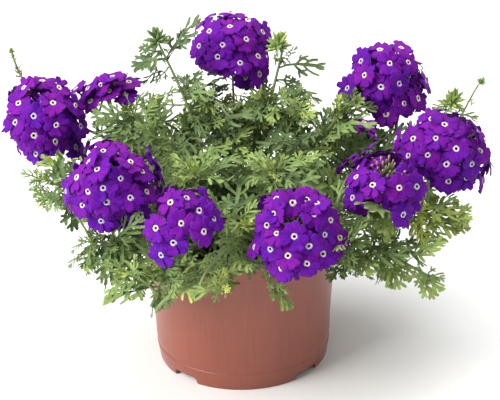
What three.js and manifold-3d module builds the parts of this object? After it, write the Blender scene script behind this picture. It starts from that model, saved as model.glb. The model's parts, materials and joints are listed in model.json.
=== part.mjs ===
// A potted garden verbena: a thin plastic pot on four feet, filled with compost, in which branching
// leafy stems stand. Twelve of the stems carry a domed head of five-petalled violet florets, and the
// rest are leafy shoots that fill the mound and trail over the rim.
// Millimetres, +Z up, origin on the pot's axis at the surface it stands on. -Y is the front.

import * as THREE from "three";
import { mergeVertices } from "three/addons/utils/BufferGeometryUtils.js";
import Module from "manifold-3d";

const wasm = await Module();
wasm.setup();

// ---------------------------------------------------------------- driving dimensions

const POT_HEIGHT = 100;
const POT_RIM_RADIUS = 67.8; // outside of the lip
const POT_FOOT_RADIUS = 58.4; // outside of the foot band, where it stands
const POT_WALL = 1.5;
const POT_SIDES = 32; // facets round the pot
const FOOT_COUNT = 4;
const FOOT_TURN = 1.7; // degrees that the front foot stands to the right of the front
const NOTCH_ANGLE = 20; // degrees of foot band cut away between two feet
const NOTCH_HEIGHT = 5;
const DRAIN_RADIUS = 4.5;
const DRAIN_CIRCLE = 38; // radius of the circle that the drain holes lie on

const SOIL_TOP = 88; // at the wall; the middle stands a little higher
const SOIL_CLEARANCE = 0.35;
const ROOT_DEPTH = 11; // how far a stem goes down into its hole
const HOLE_CLEARANCE = 0.8;

const STEM_WIDTH = 2.4; // across the flats of the square stem
const SHOOT_WIDTH = 2.0;
const STEM_STEPS = 5;
const SHOOT_STEPS = 4;

const LEAF_LENGTH = 44;
const LEAF_THICKNESS = 0.7;
const LEAF_BEND = 38; // degrees that a blade arches down from base to tip
const CLEAR = 0.35; // least room between two pieces that are not joined
const OWN_SHARE = 12; // mm3 that two leaves may share at the stem they spring from

const FLORET_SHARE = 0.45; // a floret's radius, as a share of its head's
const FLORET_CAP = 118; // degrees from a head's axis to its lowest florets
const CORE_SHARE = 0.42; // a head's core, as a share of its radius
const TUBE_RADIUS = 2; // of the corolla tube, where it opens into the petals

// Flower heads: centre, the way the dome faces, its radius, its florets, and where its stem roots
// (distance from the pot's axis and bearing in degrees). rise is how high the stem climbs first.
const HEADS = [
  { at: [-134, 36, 163], faces: [-0.3, -0.86, 0.41], radius: 28.5, florets: 11, root: [22, 168], rise: 70 },
  { at: [-92, 67.5, 171], faces: [-0.24, 0.21, 0.95], radius: 22, florets: 8, cap: 84, root: [20, 144], rise: 70 },
  { at: [-3, 49, 202.5], faces: [0, -0.67, 0.74], radius: 28.5, florets: 11, root: [9, 100], rise: 80 },
  { at: [101, 46, 178], faces: [0.31, -0.47, 0.83], radius: 30, florets: 11, root: [20, 22], rise: 70 },
  { at: [135.5, -13.5, 153.5], faces: [0.4, -0.74, 0.54], radius: 30.5, florets: 11, root: [23, -10], rise: 62 },
  { at: [92, -63, 151], faces: [-0.05, -0.29, 0.96], radius: 27, florets: 10, root: [24, -36], rise: 48 },
  { at: [36, -86.5, 132.5], faces: [0, -0.72, 0.69], radius: 30, florets: 11, root: [25, -68], rise: 52 },
  { at: [-37, -88.5, 139], faces: [0.05, -0.5, 0.87], radius: 26, florets: 9, root: [25, -112], rise: 50 },
  { at: [-83, -46.5, 148], faces: [-0.1, -0.56, 0.83], radius: 30, florets: 11, root: [24, -146], rise: 52 },
  { at: [80, 88, 108], faces: [0.45, 0.65, 0.62], radius: 28, florets: 10, root: [24, 50], rise: 76 },
  { at: [-76, 88, 106], faces: [-0.4, 0.7, 0.62], radius: 28, florets: 10, root: [24, 124], rise: 82 },
  { at: [2, 99, 112], faces: [0, 0.75, 0.66], radius: 27, florets: 10, root: [24, 86], rise: 84 },
];

// Leafy shoots: where the tip reaches, how steeply it ends (degrees above level), where it roots and
// how high it climbs first. A shoot with buds ends in an unopened head of green bracts.
const SHOOTS = [
  { tip: [-50, 15, 222], steep: 64, root: [15, 172], rise: 85, buds: true },
  { tip: [31, 36, 207], steep: 68, root: [15, 50], rise: 80, buds: true },
  { tip: [70, 11, 174], steep: 57, root: [14, 2], rise: 65 },
  { tip: [152, 35, 173], steep: 58, root: [30, 12], rise: 56 },
  { tip: [148, -56, 118], steep: -9, root: [31, -22], rise: 44 },
  { tip: [124, -77, 92], steep: -20, root: [31, -38], rise: 44 },
  { tip: [84, -91, 96], steep: -25, root: [32, -53], rise: 36 },
  { tip: [20, -110, 94], steep: -38, root: [32, -80], rise: 27 },
  { tip: [-10, -118, 104], steep: -13, root: [32, -97], rise: 34 },
  { tip: [-58, -100, 89], steep: -36, root: [32, -126], rise: 34 },
  { tip: [-118, -60, 102], steep: -12, root: [32, -156], rise: 36 },
  { tip: [-128, -17, 141], steep: 31, root: [30, 180], rise: 42 },
  { tip: [-71, 21, 173], steep: 58, root: [12, 150], rise: 62 },
  { tip: [-30, -41, 156], steep: 68, root: [12, -140], rise: 56 },
  { tip: [22, -39, 155], steep: 68, root: [12, -50], rise: 56 },
  { tip: [14, 48, 157], steep: 71, root: [20, 78], rise: 58 },
  { tip: [0, -82, 133], steep: 27, root: [18, -90], rise: 44 },
  { tip: [130, 43, 104], steep: -14, root: [31, 24], rise: 38 },
  { tip: [114, 74, 94], steep: -24, root: [32, 40], rise: 38 },
  { tip: [38, 113, 96], steep: -30, root: [32, 70], rise: 34 },
  { tip: [-38, 113, 97], steep: -28, root: [32, 104], rise: 34 },
  { tip: [-114, 72, 96], steep: -25, root: [32, 140], rise: 34 },
  { tip: [-134, 19, 107], steep: -15, root: [32, 162], rise: 36 },
];

// ---------------------------------------------------------------- materials

const potPlastic = new THREE.MeshStandardMaterial({ color: 0xa65d4a, roughness: 0.45, metalness: 0 });
const compost = new THREE.MeshStandardMaterial({ color: 0x2c1e15, roughness: 0.95, metalness: 0 });
const stemGreen = new THREE.MeshStandardMaterial({ color: 0x5f8a3c, roughness: 0.6, metalness: 0 });
const shootGreen = new THREE.MeshStandardMaterial({ color: 0x6f9c42, roughness: 0.6, metalness: 0 });
const petalViolet = new THREE.MeshStandardMaterial({ color: 0x6a16a8, roughness: 0.7, metalness: 0 });

// ---------------------------------------------------------------- helpers

const radians = THREE.MathUtils.degToRad;
const UP = new THREE.Vector3(0, 0, 1);

// A repeatable number from 0 to 1 for each pair of whole numbers.
function chance(a, b) {
  const x = Math.sin(a * 12.9898 + b * 78.233) * 43758.5453;
  return x - Math.floor(x);
}

// A closed three.js geometry as a solid that can be joined and cut.
function solidOf(geometry) {
  const bare = geometry.clone();
  bare.deleteAttribute("normal");
  bare.deleteAttribute("uv");
  const merged = mergeVertices(bare, 1e-4);
  return new wasm.Manifold(
    new wasm.Mesh({
      numProp: 3,
      vertProperties: new Float32Array(merged.attributes.position.array),
      triVerts: new Uint32Array(merged.index.array),
    }),
  );
}

function meshOf(solid, name, material) {
  const { vertProperties, triVerts } = solid.getMesh();
  const geometry = new THREE.BufferGeometry();
  geometry.setAttribute("position", new THREE.BufferAttribute(vertProperties, 3));
  geometry.setIndex(new THREE.BufferAttribute(triVerts, 1));
  geometry.computeVertexNormals();
  const mesh = new THREE.Mesh(geometry, material);
  mesh.name = name;
  return mesh;
}

// Turns a profile of [radius, height] points round the Z axis.
function turned(profile, sides) {
  const points = profile.map(([r, z]) => new THREE.Vector2(r, z));
  return new THREE.LatheGeometry(points, sides).rotateX(Math.PI / 2);
}

function onCircle(radius, degrees, z) {
  const a = radians(degrees);
  return new THREE.Vector3(radius * Math.cos(a), radius * Math.sin(a), z);
}

// ---------------------------------------------------------------- pot

// The body leans out 0.079 mm for each mm of height.
function potRadiusAt(z) {
  return 60.9 + 0.079 * (z - 30);
}

function makePot() {
  const underside = 6.2;
  const floorTop = 8;
  const footWall = 1.8;
  const lipBottom = POT_HEIGHT - 14;
  const lipRadius = potRadiusAt(POT_HEIGHT);
  const profile = [
    [0, underside],
    [POT_FOOT_RADIUS - footWall - 0.6, underside],
    [POT_FOOT_RADIUS - footWall, 0],
    [POT_FOOT_RADIUS, 0],
    [POT_FOOT_RADIUS + 0.4, 12.4],
    [POT_FOOT_RADIUS + 1.6, 13.2],
    [potRadiusAt(24), 24],
    [potRadiusAt(lipBottom), lipBottom],
    [potRadiusAt(lipBottom) + 1.1, lipBottom + 1.2],
    [POT_RIM_RADIUS, POT_HEIGHT - 0.8],
    [POT_RIM_RADIUS - 0.7, POT_HEIGHT],
    [lipRadius - POT_WALL, POT_HEIGHT],
    [potRadiusAt(24) - POT_WALL, 24],
    [POT_FOOT_RADIUS - 0.1, 13.5],
    [POT_FOOT_RADIUS - 4, floorTop],
    [0, floorTop],
  ];
  let pot = solidOf(turned(profile, POT_SIDES));
  for (let i = 0; i < FOOT_COUNT; i++) {
    const bearing = -90 + FOOT_TURN + (i + 0.5) * (360 / FOOT_COUNT);
    const width = 2 * POT_FOOT_RADIUS * Math.sin(radians(NOTCH_ANGLE / 2));
    const notch = new THREE.BoxGeometry(14, width, 2 * NOTCH_HEIGHT);
    notch.translate(POT_FOOT_RADIUS, 0, 0).rotateZ(radians(bearing));
    pot = pot.subtract(solidOf(notch));
    const drain = new THREE.CylinderGeometry(DRAIN_RADIUS, DRAIN_RADIUS, 8, 8);
    drain.rotateX(Math.PI / 2).translate(DRAIN_CIRCLE, 0, (underside + floorTop) / 2);
    pot = pot.subtract(solidOf(drain.rotateZ(radians(bearing))));
  }
  return pot;
}

// ---------------------------------------------------------------- stems

// A stem's centreline: out of the soil, up by rise while it leans the way it is going, then over to
// its end, which it reaches along the direction given.
function stemPath(root, rise, end, direction, reach) {
  const start = onCircle(root[0], root[1], SOIL_TOP - ROOT_DEPTH);
  const away = end.clone().sub(start).setZ(0);
  const lean = Math.min(0.22 * away.length(), 0.45 * rise);
  const climb = start.clone().addScaledVector(away.normalize(), lean).addScaledVector(UP, rise);
  const before = end.clone().addScaledVector(direction, -reach);
  return new THREE.CubicBezierCurve3(start, climb, before, end);
}

function squareTube(path, width, steps) {
  const h = width / 2;
  const corners = [[-h, -h], [h, -h], [h, h], [-h, h]];
  const section = new THREE.Shape(corners.map(([x, y]) => new THREE.Vector2(x, y)));
  return new THREE.ExtrudeGeometry(section, { steps, bevelEnabled: false, extrudePath: path });
}

// The stem as it is extruded, a chain of straight lengths, so that leaves spring from its middle.
function chainOf(path, steps) {
  const points = path.getSpacedPoints(steps);
  const chain = new THREE.CurvePath();
  for (let i = 0; i < steps; i++) chain.add(new THREE.LineCurve3(points[i], points[i + 1]));
  return chain;
}

// The plain hole that a stem stands in: a wider square along the first straight length of the stem.
function holeFor(path, width, steps) {
  const foot = path.getPoint(0);
  const way = path.getSpacedPoints(steps)[1].sub(foot).normalize();
  const bottom = foot.clone().addScaledVector(way, -0.8);
  const top = foot.clone().addScaledVector(way, ROOT_DEPTH + 8);
  return squareTube(new THREE.LineCurve3(bottom, top), width + 2 * HOLE_CLEARANCE, 1);
}

// ---------------------------------------------------------------- leaves

// Half a cut leaf's outline as [out from the rib, along the rib], in shares of the leaf's length:
// each lobe's tip and the deep notch above it.
const LEAF_SIDE = [[0.016, 0], [0.3, 0.44], [0.05, 0.42], [0.25, 0.74], [0.045, 0.66]];
const TUFT_SIDE = [[0.03, 0], [0.24, 0.56], [0.06, 0.5]];

function leafShape(side, length, widen) {
  const right = side.map(([x, y]) => new THREE.Vector2(x * length + widen, y * length));
  const tip = new THREE.Vector2(0, length + widen);
  const left = side.map(([x, y]) => new THREE.Vector2(-x * length - widen, y * length)).reverse();
  return new THREE.Shape([...right, tip, ...left]);
}

// One blade, arched down over its length with its two sides lifted, set at a point of a stem.
// The arch and the lift move both faces alike.
function bladeAt(side, length, base, direction, up, { thickness, widen, bend }) {
  const geometry = new THREE.ExtrudeGeometry(leafShape(side, length, widen), {
    depth: thickness,
    bevelEnabled: false,
  });
  const position = geometry.attributes.position;
  const curl = radians(bend);
  for (let i = 0; i < position.count; i++) {
    const x = position.getX(i);
    const angle = (position.getY(i) / length) * curl;
    const z = position.getZ(i) - thickness / 2;
    const lift = 0.22 * Math.abs(x);
    const y = (length / curl) * Math.sin(angle) + z * Math.sin(angle);
    position.setXYZ(i, x, y, z * Math.cos(angle) + lift - (length / curl) * (1 - Math.cos(angle)));
  }
  const across = new THREE.Vector3().crossVectors(direction, up).normalize();
  const normal = new THREE.Vector3().crossVectors(across, direction).normalize();
  const frame = new THREE.Matrix4().makeBasis(across, direction, normal).setPosition(base);
  return solidOf(geometry.applyMatrix4(frame));
}

// Where a leaf points, from its place on the stem: round is its bearing about the stem (0 to the
// right, 90 on top), spread its angle from the stem's own direction.
function leafWay(path, share, round, spread) {
  const along = path.getTangent(share).normalize();
  const level = new THREE.Vector3().crossVectors(along, UP);
  if (level.length() < 0.2) level.set(Math.cos(share * 9), Math.sin(share * 9), 0);
  level.normalize();
  const top = new THREE.Vector3().crossVectors(level, along).normalize();
  const out = level.multiplyScalar(Math.cos(radians(round))).addScaledVector(top, Math.sin(radians(round)));
  const turn = radians(spread);
  return along.multiplyScalar(Math.cos(turn)).addScaledVector(out, Math.sin(turn)).normalize();
}

// ---------------------------------------------------------------- flower heads

// A floret: five broad petals with a flat or notched end, as one star dished at the eye, on a
// three-sided corolla tube that narrows to a point inside the head's core.
function floretSolid(centre, way, twist, reach, headRadius) {
  const radius = FLORET_SHARE * headRadius;
  const across = new THREE.Vector3().crossVectors(way, new THREE.Vector3(0.31, 0.17, 0.93)).normalize();
  const other = new THREE.Vector3().crossVectors(way, across).normalize();
  const pointAt = (angle, out, along) =>
    centre
      .clone()
      .addScaledVector(across, Math.cos(angle) * out)
      .addScaledVector(other, Math.sin(angle) * out)
      .addScaledVector(way, reach + along);
  const corners = [];
  for (let petal = 0; petal < 5; petal++) {
    const middle = radians(72 * petal) + twist;
    const tipLift = 0.8 * Math.sin(5 * petal + twist) - 1.4;
    corners.push(pointAt(middle - radians(22), radius, tipLift));
    corners.push(pointAt(middle + radians(22), radius, tipLift));
    corners.push(pointAt(middle + radians(36), 0.46 * radius, -0.4));
  }
  const rim = corners.length;
  corners.push(pointAt(0, 0, -1));
  const eye = rim;
  const neck = [0, 1, 2].map((side) => rim + 1 + side);
  neck.forEach((_, side) => corners.push(pointAt(twist + radians(54 + 120 * side), TUBE_RADIUS, -4.2)));
  corners.push(centre.clone().addScaledVector(way, 0.16 * headRadius));
  const root = corners.length - 1;
  const triangles = [];
  for (let i = 0; i < rim; i++) {
    const next = (i + 1) % rim;
    const here = neck[Math.floor(i / 5)];
    triangles.push(eye, i, next, here, next, i);
    if (next % 5) continue;
    const there = neck[next / 5];
    triangles.push(next, here, there, there, here, root);
  }
  const geometry = new THREE.BufferGeometry();
  const numbers = corners.flatMap((corner) => corner.toArray());
  geometry.setAttribute("position", new THREE.Float32BufferAttribute(numbers, 3));
  geometry.setIndex(triangles);
  return solidOf(geometry);
}

// The florets of a head lie on a golden-angle spiral from the top of the dome down to its cap angle.
function headSolid(head, number) {
  const centre = new THREE.Vector3(...head.at);
  const axis = new THREE.Vector3(...head.faces).normalize();
  const turn = new THREE.Quaternion().setFromUnitVectors(UP, axis);
  const r = head.radius;
  const c = CORE_SHARE * r;
  const profile = [[0, -c], [2.4, -c], [0.95 * c, -0.25 * c], [0.8 * c, 0.65 * c], [0, c]];
  const core = turned(profile, 7).applyQuaternion(turn).translate(...head.at);
  const capCosine = Math.cos(radians(head.cap ?? FLORET_CAP));
  const parts = [solidOf(core)];
  for (let i = 0; i < head.florets; i++) {
    const height = 1 - ((1 - capCosine) * (i + 0.5)) / head.florets;
    const round = radians(137.508 * i + 40 * number);
    const level = Math.sqrt(1 - height * height);
    const way = new THREE.Vector3(level * Math.cos(round), level * Math.sin(round), height);
    way.applyQuaternion(turn);
    const reach = r * (0.95 + 0.1 * chance(number, i));
    parts.push(floretSolid(centre, way, 6.28 * chance(i, number), reach, r));
  }
  return wasm.Manifold.union(parts);
}

// ---------------------------------------------------------------- the plant, piece by piece

// A growing record of what stands where, so that each leaf can be set clear of every other piece.
const placed = [];

function boxesMeet(a, b) {
  return [0, 1, 2].every((k) => a.min[k] <= b.max[k] && b.min[k] <= a.max[k]);
}

function keep(owner, solid) {
  placed.push({ owner, solid, box: solid.boundingBox() });
  return solid;
}

// Pieces of one plant may share a little room where they spring from its stem, and other pieces none.
function isClear(solid, owner) {
  const box = solid.boundingBox();
  return placed.every((other) => {
    if ((other.owner === owner && other.stem) || !boxesMeet(box, other.box)) return true;
    return solid.intersect(other.solid).volume() < (other.owner === owner ? OWN_SHARE : 1e-6);
  });
}

// Turns to try, nearest first, for a leaf that would touch its neighbours.
const TURNS = [0, 14, -14, 28, -28, 42, -42, 58, -58, 75, -75, 95, -95];
const SPREADS = [58, 42, 74];

// Sets one blade on a stem, turned round the stem or raised until it is clear of all other pieces.
function setBlade(plant, side, length, share, round, bend) {
  const base = plant.chain.getPoint(share);
  for (const spread of SPREADS) {
    for (const turn of TURNS) {
      const way = leafWay(plant.chain, share, round + turn, spread);
      const lift = Math.abs(way.z) > 0.9 ? plant.chain.getTangent(share) : UP;
      const roomy = bladeAt(side, length, base, way, lift, {
        thickness: LEAF_THICKNESS + 2 * CLEAR,
        widen: CLEAR,
        bend,
      });
      if (!isClear(roomy, plant.name)) continue;
      const blade = bladeAt(side, length, base, way, lift, { thickness: LEAF_THICKNESS, widen: 0, bend });
      plant.parts.push(keep(plant.name, blade));
      return;
    }
  }
}

const heads = HEADS.map((head, i) => {
  const solid = headSolid(head, i + 1);
  return { name: `flower_head_${i + 1}`, solid: keep(`flower_head_${i + 1}`, solid) };
});

const plants = [
  ...HEADS.map((head, i) => {
    const axis = new THREE.Vector3(...head.faces).normalize();
    const below = CORE_SHARE * head.radius + CLEAR;
    const end = new THREE.Vector3(...head.at).addScaledVector(axis, -below);
    const path = stemPath(head.root, head.rise, end, axis, 42);
    return { name: `flower_stem_${i + 1}`, path, width: STEM_WIDTH, steps: STEM_STEPS, from: 0.3, to: 0.8 };
  }),
  ...SHOOTS.map((shoot, i) => {
    const tip = new THREE.Vector3(...shoot.tip);
    const away = tip.clone().sub(onCircle(...shoot.root, SOIL_TOP)).setZ(0).normalize();
    const direction = away.multiplyScalar(Math.cos(radians(shoot.steep)));
    direction.addScaledVector(UP, Math.sin(radians(shoot.steep)));
    const path = stemPath(shoot.root, shoot.rise, tip, direction, 40);
    const name = `leafy_shoot_${i + 1}`;
    return { name, path, width: SHOOT_WIDTH, steps: SHOOT_STEPS, from: 0.34, to: 0.97, shoot };
  }),
];

let soil = solidOf(
  turned(
    [
      [0, 8 + SOIL_CLEARANCE],
      [POT_FOOT_RADIUS - 4.2, 8 + SOIL_CLEARANCE],
      [POT_FOOT_RADIUS - 0.4, 13.5 + SOIL_CLEARANCE],
      [potRadiusAt(24) - POT_WALL - SOIL_CLEARANCE, 24],
      [potRadiusAt(SOIL_TOP) - POT_WALL - SOIL_CLEARANCE, SOIL_TOP],
      [46, SOIL_TOP + 2],
      [0, SOIL_TOP + 2],
    ],
    POT_SIDES,
  ),
);
const pot = keep("pot", makePot());

for (const plant of plants) {
  const tube = solidOf(squareTube(plant.path, plant.width, plant.steps));
  soil = soil.subtract(solidOf(holeFor(plant.path, plant.width, plant.steps)));
  plant.parts = [tube];
  plant.chain = chainOf(plant.path, plant.steps);
  placed.push({ owner: plant.name, solid: tube, box: tube.boundingBox(), stem: true });
}
keep("soil", soil);

// Leaves grow in opposite pairs, each pair turned from the one below it, with a tuft at a shoot's tip.
const PAIR_SPACING = 58; // mm of stem between one pair and the next
const TUFT_LENGTH = 24;
plants.forEach((plant, number) => {
  const pairs = Math.max(1, Math.round(((plant.to - plant.from) * plant.path.getLength()) / PAIR_SPACING));
  for (let pair = 0; pair < pairs; pair++) {
    const share = plant.from + ((plant.to - plant.from) * (pair + 0.45)) / pairs;
    const length = LEAF_LENGTH * (0.9 + 0.2 * chance(number, pair));
    const round = pair % 2 ? 50 : 12;
    setBlade(plant, LEAF_SIDE, length, share, round, LEAF_BEND);
    setBlade(plant, LEAF_SIDE, length, share + 0.02, 180 - round, LEAF_BEND);
  }
  if (!plant.shoot) return;
  const around = plant.shoot.buds ? [0, 180] : [30, 210];
  around.forEach((round) => setBlade(plant, TUFT_SIDE, TUFT_LENGTH, plant.to, round, 20));
});

const verbena = new THREE.Group();
verbena.name = "potted_verbena";
verbena.add(meshOf(pot, "pot", potPlastic));
verbena.add(meshOf(soil, "soil", compost));
for (const head of heads) verbena.add(meshOf(head.solid, head.name, petalViolet));
for (const plant of plants) {
  const material = plant.shoot ? shootGreen : stemGreen;
  verbena.add(meshOf(wasm.Manifold.union(plant.parts), plant.name, material));
}

export default verbena;
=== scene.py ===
# A potted garden verbena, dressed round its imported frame: a satin plastic pot, compost, square
# stems with finely cut leaves, and domed heads of violet florets with a white eye.

import json
import math

import bpy
import numpy as np
from mathutils import Matrix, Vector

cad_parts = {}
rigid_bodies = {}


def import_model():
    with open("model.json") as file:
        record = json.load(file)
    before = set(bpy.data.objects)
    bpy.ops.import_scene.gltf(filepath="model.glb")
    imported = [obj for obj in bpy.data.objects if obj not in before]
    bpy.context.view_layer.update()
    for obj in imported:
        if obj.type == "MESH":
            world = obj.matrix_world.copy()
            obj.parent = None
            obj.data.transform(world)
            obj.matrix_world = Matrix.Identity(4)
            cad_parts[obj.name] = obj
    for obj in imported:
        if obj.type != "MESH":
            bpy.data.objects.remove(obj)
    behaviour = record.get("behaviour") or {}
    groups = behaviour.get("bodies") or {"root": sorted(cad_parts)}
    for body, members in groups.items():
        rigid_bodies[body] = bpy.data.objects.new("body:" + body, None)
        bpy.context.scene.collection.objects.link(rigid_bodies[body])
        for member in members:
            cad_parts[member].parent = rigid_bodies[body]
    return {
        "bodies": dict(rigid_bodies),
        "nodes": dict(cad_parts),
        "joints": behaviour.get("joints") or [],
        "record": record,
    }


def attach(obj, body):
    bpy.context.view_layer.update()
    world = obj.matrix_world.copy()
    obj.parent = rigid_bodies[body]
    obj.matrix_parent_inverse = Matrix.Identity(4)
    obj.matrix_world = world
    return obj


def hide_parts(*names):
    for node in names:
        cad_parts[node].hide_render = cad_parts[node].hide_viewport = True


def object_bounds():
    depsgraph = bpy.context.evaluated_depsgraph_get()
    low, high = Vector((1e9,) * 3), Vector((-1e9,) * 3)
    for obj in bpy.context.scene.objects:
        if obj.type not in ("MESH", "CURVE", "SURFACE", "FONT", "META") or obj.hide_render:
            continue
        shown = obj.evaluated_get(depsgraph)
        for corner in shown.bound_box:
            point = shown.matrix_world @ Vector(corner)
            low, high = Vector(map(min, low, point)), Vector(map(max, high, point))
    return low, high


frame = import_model()
cad_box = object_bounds()

MM = 0.001

# ------------------------------------------------------------------------------ studio and camera
# The plant stands on a wide white table, seen from a little above. A broad soft light hangs at the
# upper left, and the white room fills the shadows.

VIEW_ELEVATION = math.radians(25.5)
VIEW_ROLL = math.radians(-1.44)
VIEW_DISTANCE = 1.3
VIEW_WIDTH = 0.34  # across the picture, at the pot's axis
VIEW_MIDDLE = np.array([7.0, 0, 114.9]) * MM

view_back = np.array([0, -math.cos(VIEW_ELEVATION), math.sin(VIEW_ELEVATION)])
level_right = np.array([1.0, 0, 0])
level_up = np.cross(level_right, -view_back)
view_right = math.cos(VIEW_ROLL) * level_right + math.sin(VIEW_ROLL) * level_up
view_up = math.cos(VIEW_ROLL) * level_up - math.sin(VIEW_ROLL) * level_right

camera_data = bpy.data.cameras.new("camera")
camera_data.lens = 36 * VIEW_DISTANCE / VIEW_WIDTH
camera_data.sensor_width = 36
camera = bpy.data.objects.new("camera", camera_data)
bpy.context.collection.objects.link(camera)
camera_place = VIEW_MIDDLE + view_back * VIEW_DISTANCE
camera.matrix_world = Matrix(
    [[*axis, place] for axis, place in zip(np.stack([view_right, view_up, view_back], 1), camera_place)]
    + [[0, 0, 0, 1]]
)
bpy.context.scene.camera = camera
bpy.context.scene.view_settings.view_transform = "Standard"


def unit(vectors):
    """Vectors scaled to length one."""
    return vectors / np.linalg.norm(vectors, axis=-1, keepdims=True)


def soft_light(name, place, aim, size, power, colour):
    """A square area light of the given size at place, turned so that it shines at aim."""
    data = bpy.data.lights.new(name, "AREA")
    data.size = size
    data.energy = power
    data.color = colour
    light = bpy.data.objects.new(name, data)
    bpy.context.collection.objects.link(light)
    back = unit(np.subtract(place, aim))
    right = unit(np.cross([0, 0, 1], back))
    turn = np.stack([right, np.cross(back, right), back], 1)
    light.matrix_world = Matrix([[*row, spot] for row, spot in zip(turn, place)] + [[0, 0, 0, 1]])


soft_light("key_light", (-1.45, -0.8, 1.2), (0, 0, 0.12), 1.2, 54, (1, 0.98, 0.95))
soft_light("top_light", (0.1, 0.4, 1.6), (0, 0, 0.1), 1.4, 24, (1, 1, 1))

room = bpy.data.worlds.new("white_room")
bpy.context.scene.world = room
room.use_nodes = True
background = room.node_tree.nodes["Background"]
background.inputs["Color"].default_value = (1, 1, 1, 1)
background.inputs["Strength"].default_value = 0.5


def new_material(name, roughness):
    """A material with only its Principled shader, which is returned with the node tree."""
    material = bpy.data.materials.new(name)
    material.use_nodes = True
    shader = material.node_tree.nodes["Principled BSDF"]
    shader.inputs["Roughness"].default_value = roughness
    return material, material.node_tree, shader


table_white, _, table_shader = new_material("white_table", 0.9)
table_shader.inputs["Base Color"].default_value = (0.93, 0.93, 0.93, 1)


def filled_mesh(name, points, faces, materials, uv=None, face_material=None, crease=None):
    """A mesh object at the origin. faces is an array of equal-sided faces or a list of such arrays,
    uv gives each point its place in the piece's own map, and crease is the angle past which an
    edge stays sharp."""
    groups = faces if isinstance(faces, list) else [faces]
    corners = np.concatenate([group.ravel() for group in groups])
    sides = np.concatenate([np.full(len(group), group.shape[1]) for group in groups])
    starts = np.concatenate([[0], np.cumsum(sides)[:-1]])
    mesh = bpy.data.meshes.new(name)
    mesh.vertices.add(len(points))
    mesh.vertices.foreach_set("co", np.asarray(points, dtype=np.float32).ravel())
    mesh.loops.add(len(corners))
    mesh.loops.foreach_set("vertex_index", corners.astype(np.int32))
    mesh.polygons.add(len(sides))
    mesh.polygons.foreach_set("loop_start", starts.astype(np.int32))
    mesh.polygons.foreach_set("loop_total", sides.astype(np.int32))
    if face_material is not None:
        mesh.polygons.foreach_set("material_index", np.asarray(face_material, dtype=np.int32))
    mesh.update(calc_edges=True)
    if uv is not None:
        layer = mesh.uv_layers.new(name="map")
        layer.data.foreach_set("uv", np.asarray(uv, dtype=np.float32)[corners].ravel())
    mesh.polygons.foreach_set("use_smooth", np.ones(len(sides), dtype=bool))
    if crease is not None:
        mesh.set_sharp_from_angle(angle=math.radians(crease))
    for material in materials:
        mesh.materials.append(material)
    mesh.validate()
    piece = bpy.data.objects.new(name, mesh)
    bpy.context.collection.objects.link(piece)
    return piece


TABLE_REACH = 4.0
table_corners = np.array([[-1, -1, 0], [1, -1, 0], [1, 1, 0], [-1, 1, 0]]) * TABLE_REACH
table = filled_mesh("table", table_corners, np.array([[0, 1, 2, 3]]), [table_white])

# ------------------------------------------------------------------------------ pot
# A thin pot moulded in terracotta-coloured polypropylene. Its foot band is cut by four notches that
# let water out from under the floor, which has four drain holes.

POT_HEIGHT = 100 * MM
RIM_RADIUS = 67.8 * MM
POT_FLOOR = 8 * MM
POT_UNDERSIDE = 6.2 * MM
FOOT_TURN = 1.7  # degrees that the front foot stands to the right of the front
NOTCH_ANGLE = 20  # degrees round the foot
DRAIN_RADIUS = 4.5 * MM
DRAIN_CIRCLE = 38 * MM
DRILL_ENDS = np.array([[4], [11]]) * MM
FULL_TURN = 2 * math.pi


def wall_radius(z):
    """Outside radius of the pot's body: it leans out 0.079 for each unit of height."""
    return 60.9 * MM + 0.079 * (z - 30 * MM)


def rounded_line(points, radii, steps=4):
    """An open line of [radius, height] points with each inner corner rounded: the corner is
    replaced by a quadratic curve that starts and ends at its radius away along both sides."""
    points = np.asarray(points)
    line = [points[:1]]
    share = np.linspace(0, 1, steps + 1)[:, None]
    for before, corner, after, radius in zip(points[:-2], points[1:-1], points[2:], radii):
        if radius == 0:
            line.append(corner[None])
            continue
        back = before - corner
        forth = after - corner
        start = corner + back / np.linalg.norm(back) * radius
        end = corner + forth / np.linalg.norm(forth) * radius
        line.append((1 - share) ** 2 * start + 2 * share * (1 - share) * corner + share**2 * end)
    return np.concatenate(line + [points[-1:]])


def turned_grid(radii, heights, bearings):
    """Rows of points (radius cos, radius sin, height), a row for each profile point and a column
    for each bearing. radii and heights are rows by columns, or rows by one."""
    shape = (len(radii), len(bearings))
    r = np.broadcast_to(radii, shape)
    z = np.broadcast_to(heights, shape)
    return np.stack([r * np.cos(bearings), r * np.sin(bearings), z], -1)


def capped_turn(grid, first_pole, last_pole):
    """Points and faces of a turned grid whose columns close on themselves and whose first and last
    rows close on a pole each. The profile runs so that its left side faces out of the solid."""
    rows, columns = grid.shape[:2]
    points = np.concatenate([grid.reshape(-1, 3), [first_pole], [last_pole]])
    index = np.arange(rows * columns).reshape(rows, columns)
    ahead = np.roll(index, -1, axis=1)
    quads = np.stack([index[:-1], ahead[:-1], ahead[1:], index[1:]], -1).reshape(-1, 4)
    first = np.stack([np.full(columns, rows * columns), ahead[0], index[0]], -1)
    last = np.stack([np.full(columns, rows * columns + 1), index[-1], ahead[-1]], -1)
    return points, [quads, first, last]


def wall_point(height, inwards=0):
    """Radius and height in millimetres of a point of the wall's outside, moved in by inwards."""
    return [wall_radius(height * MM) / MM - inwards, height]


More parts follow.
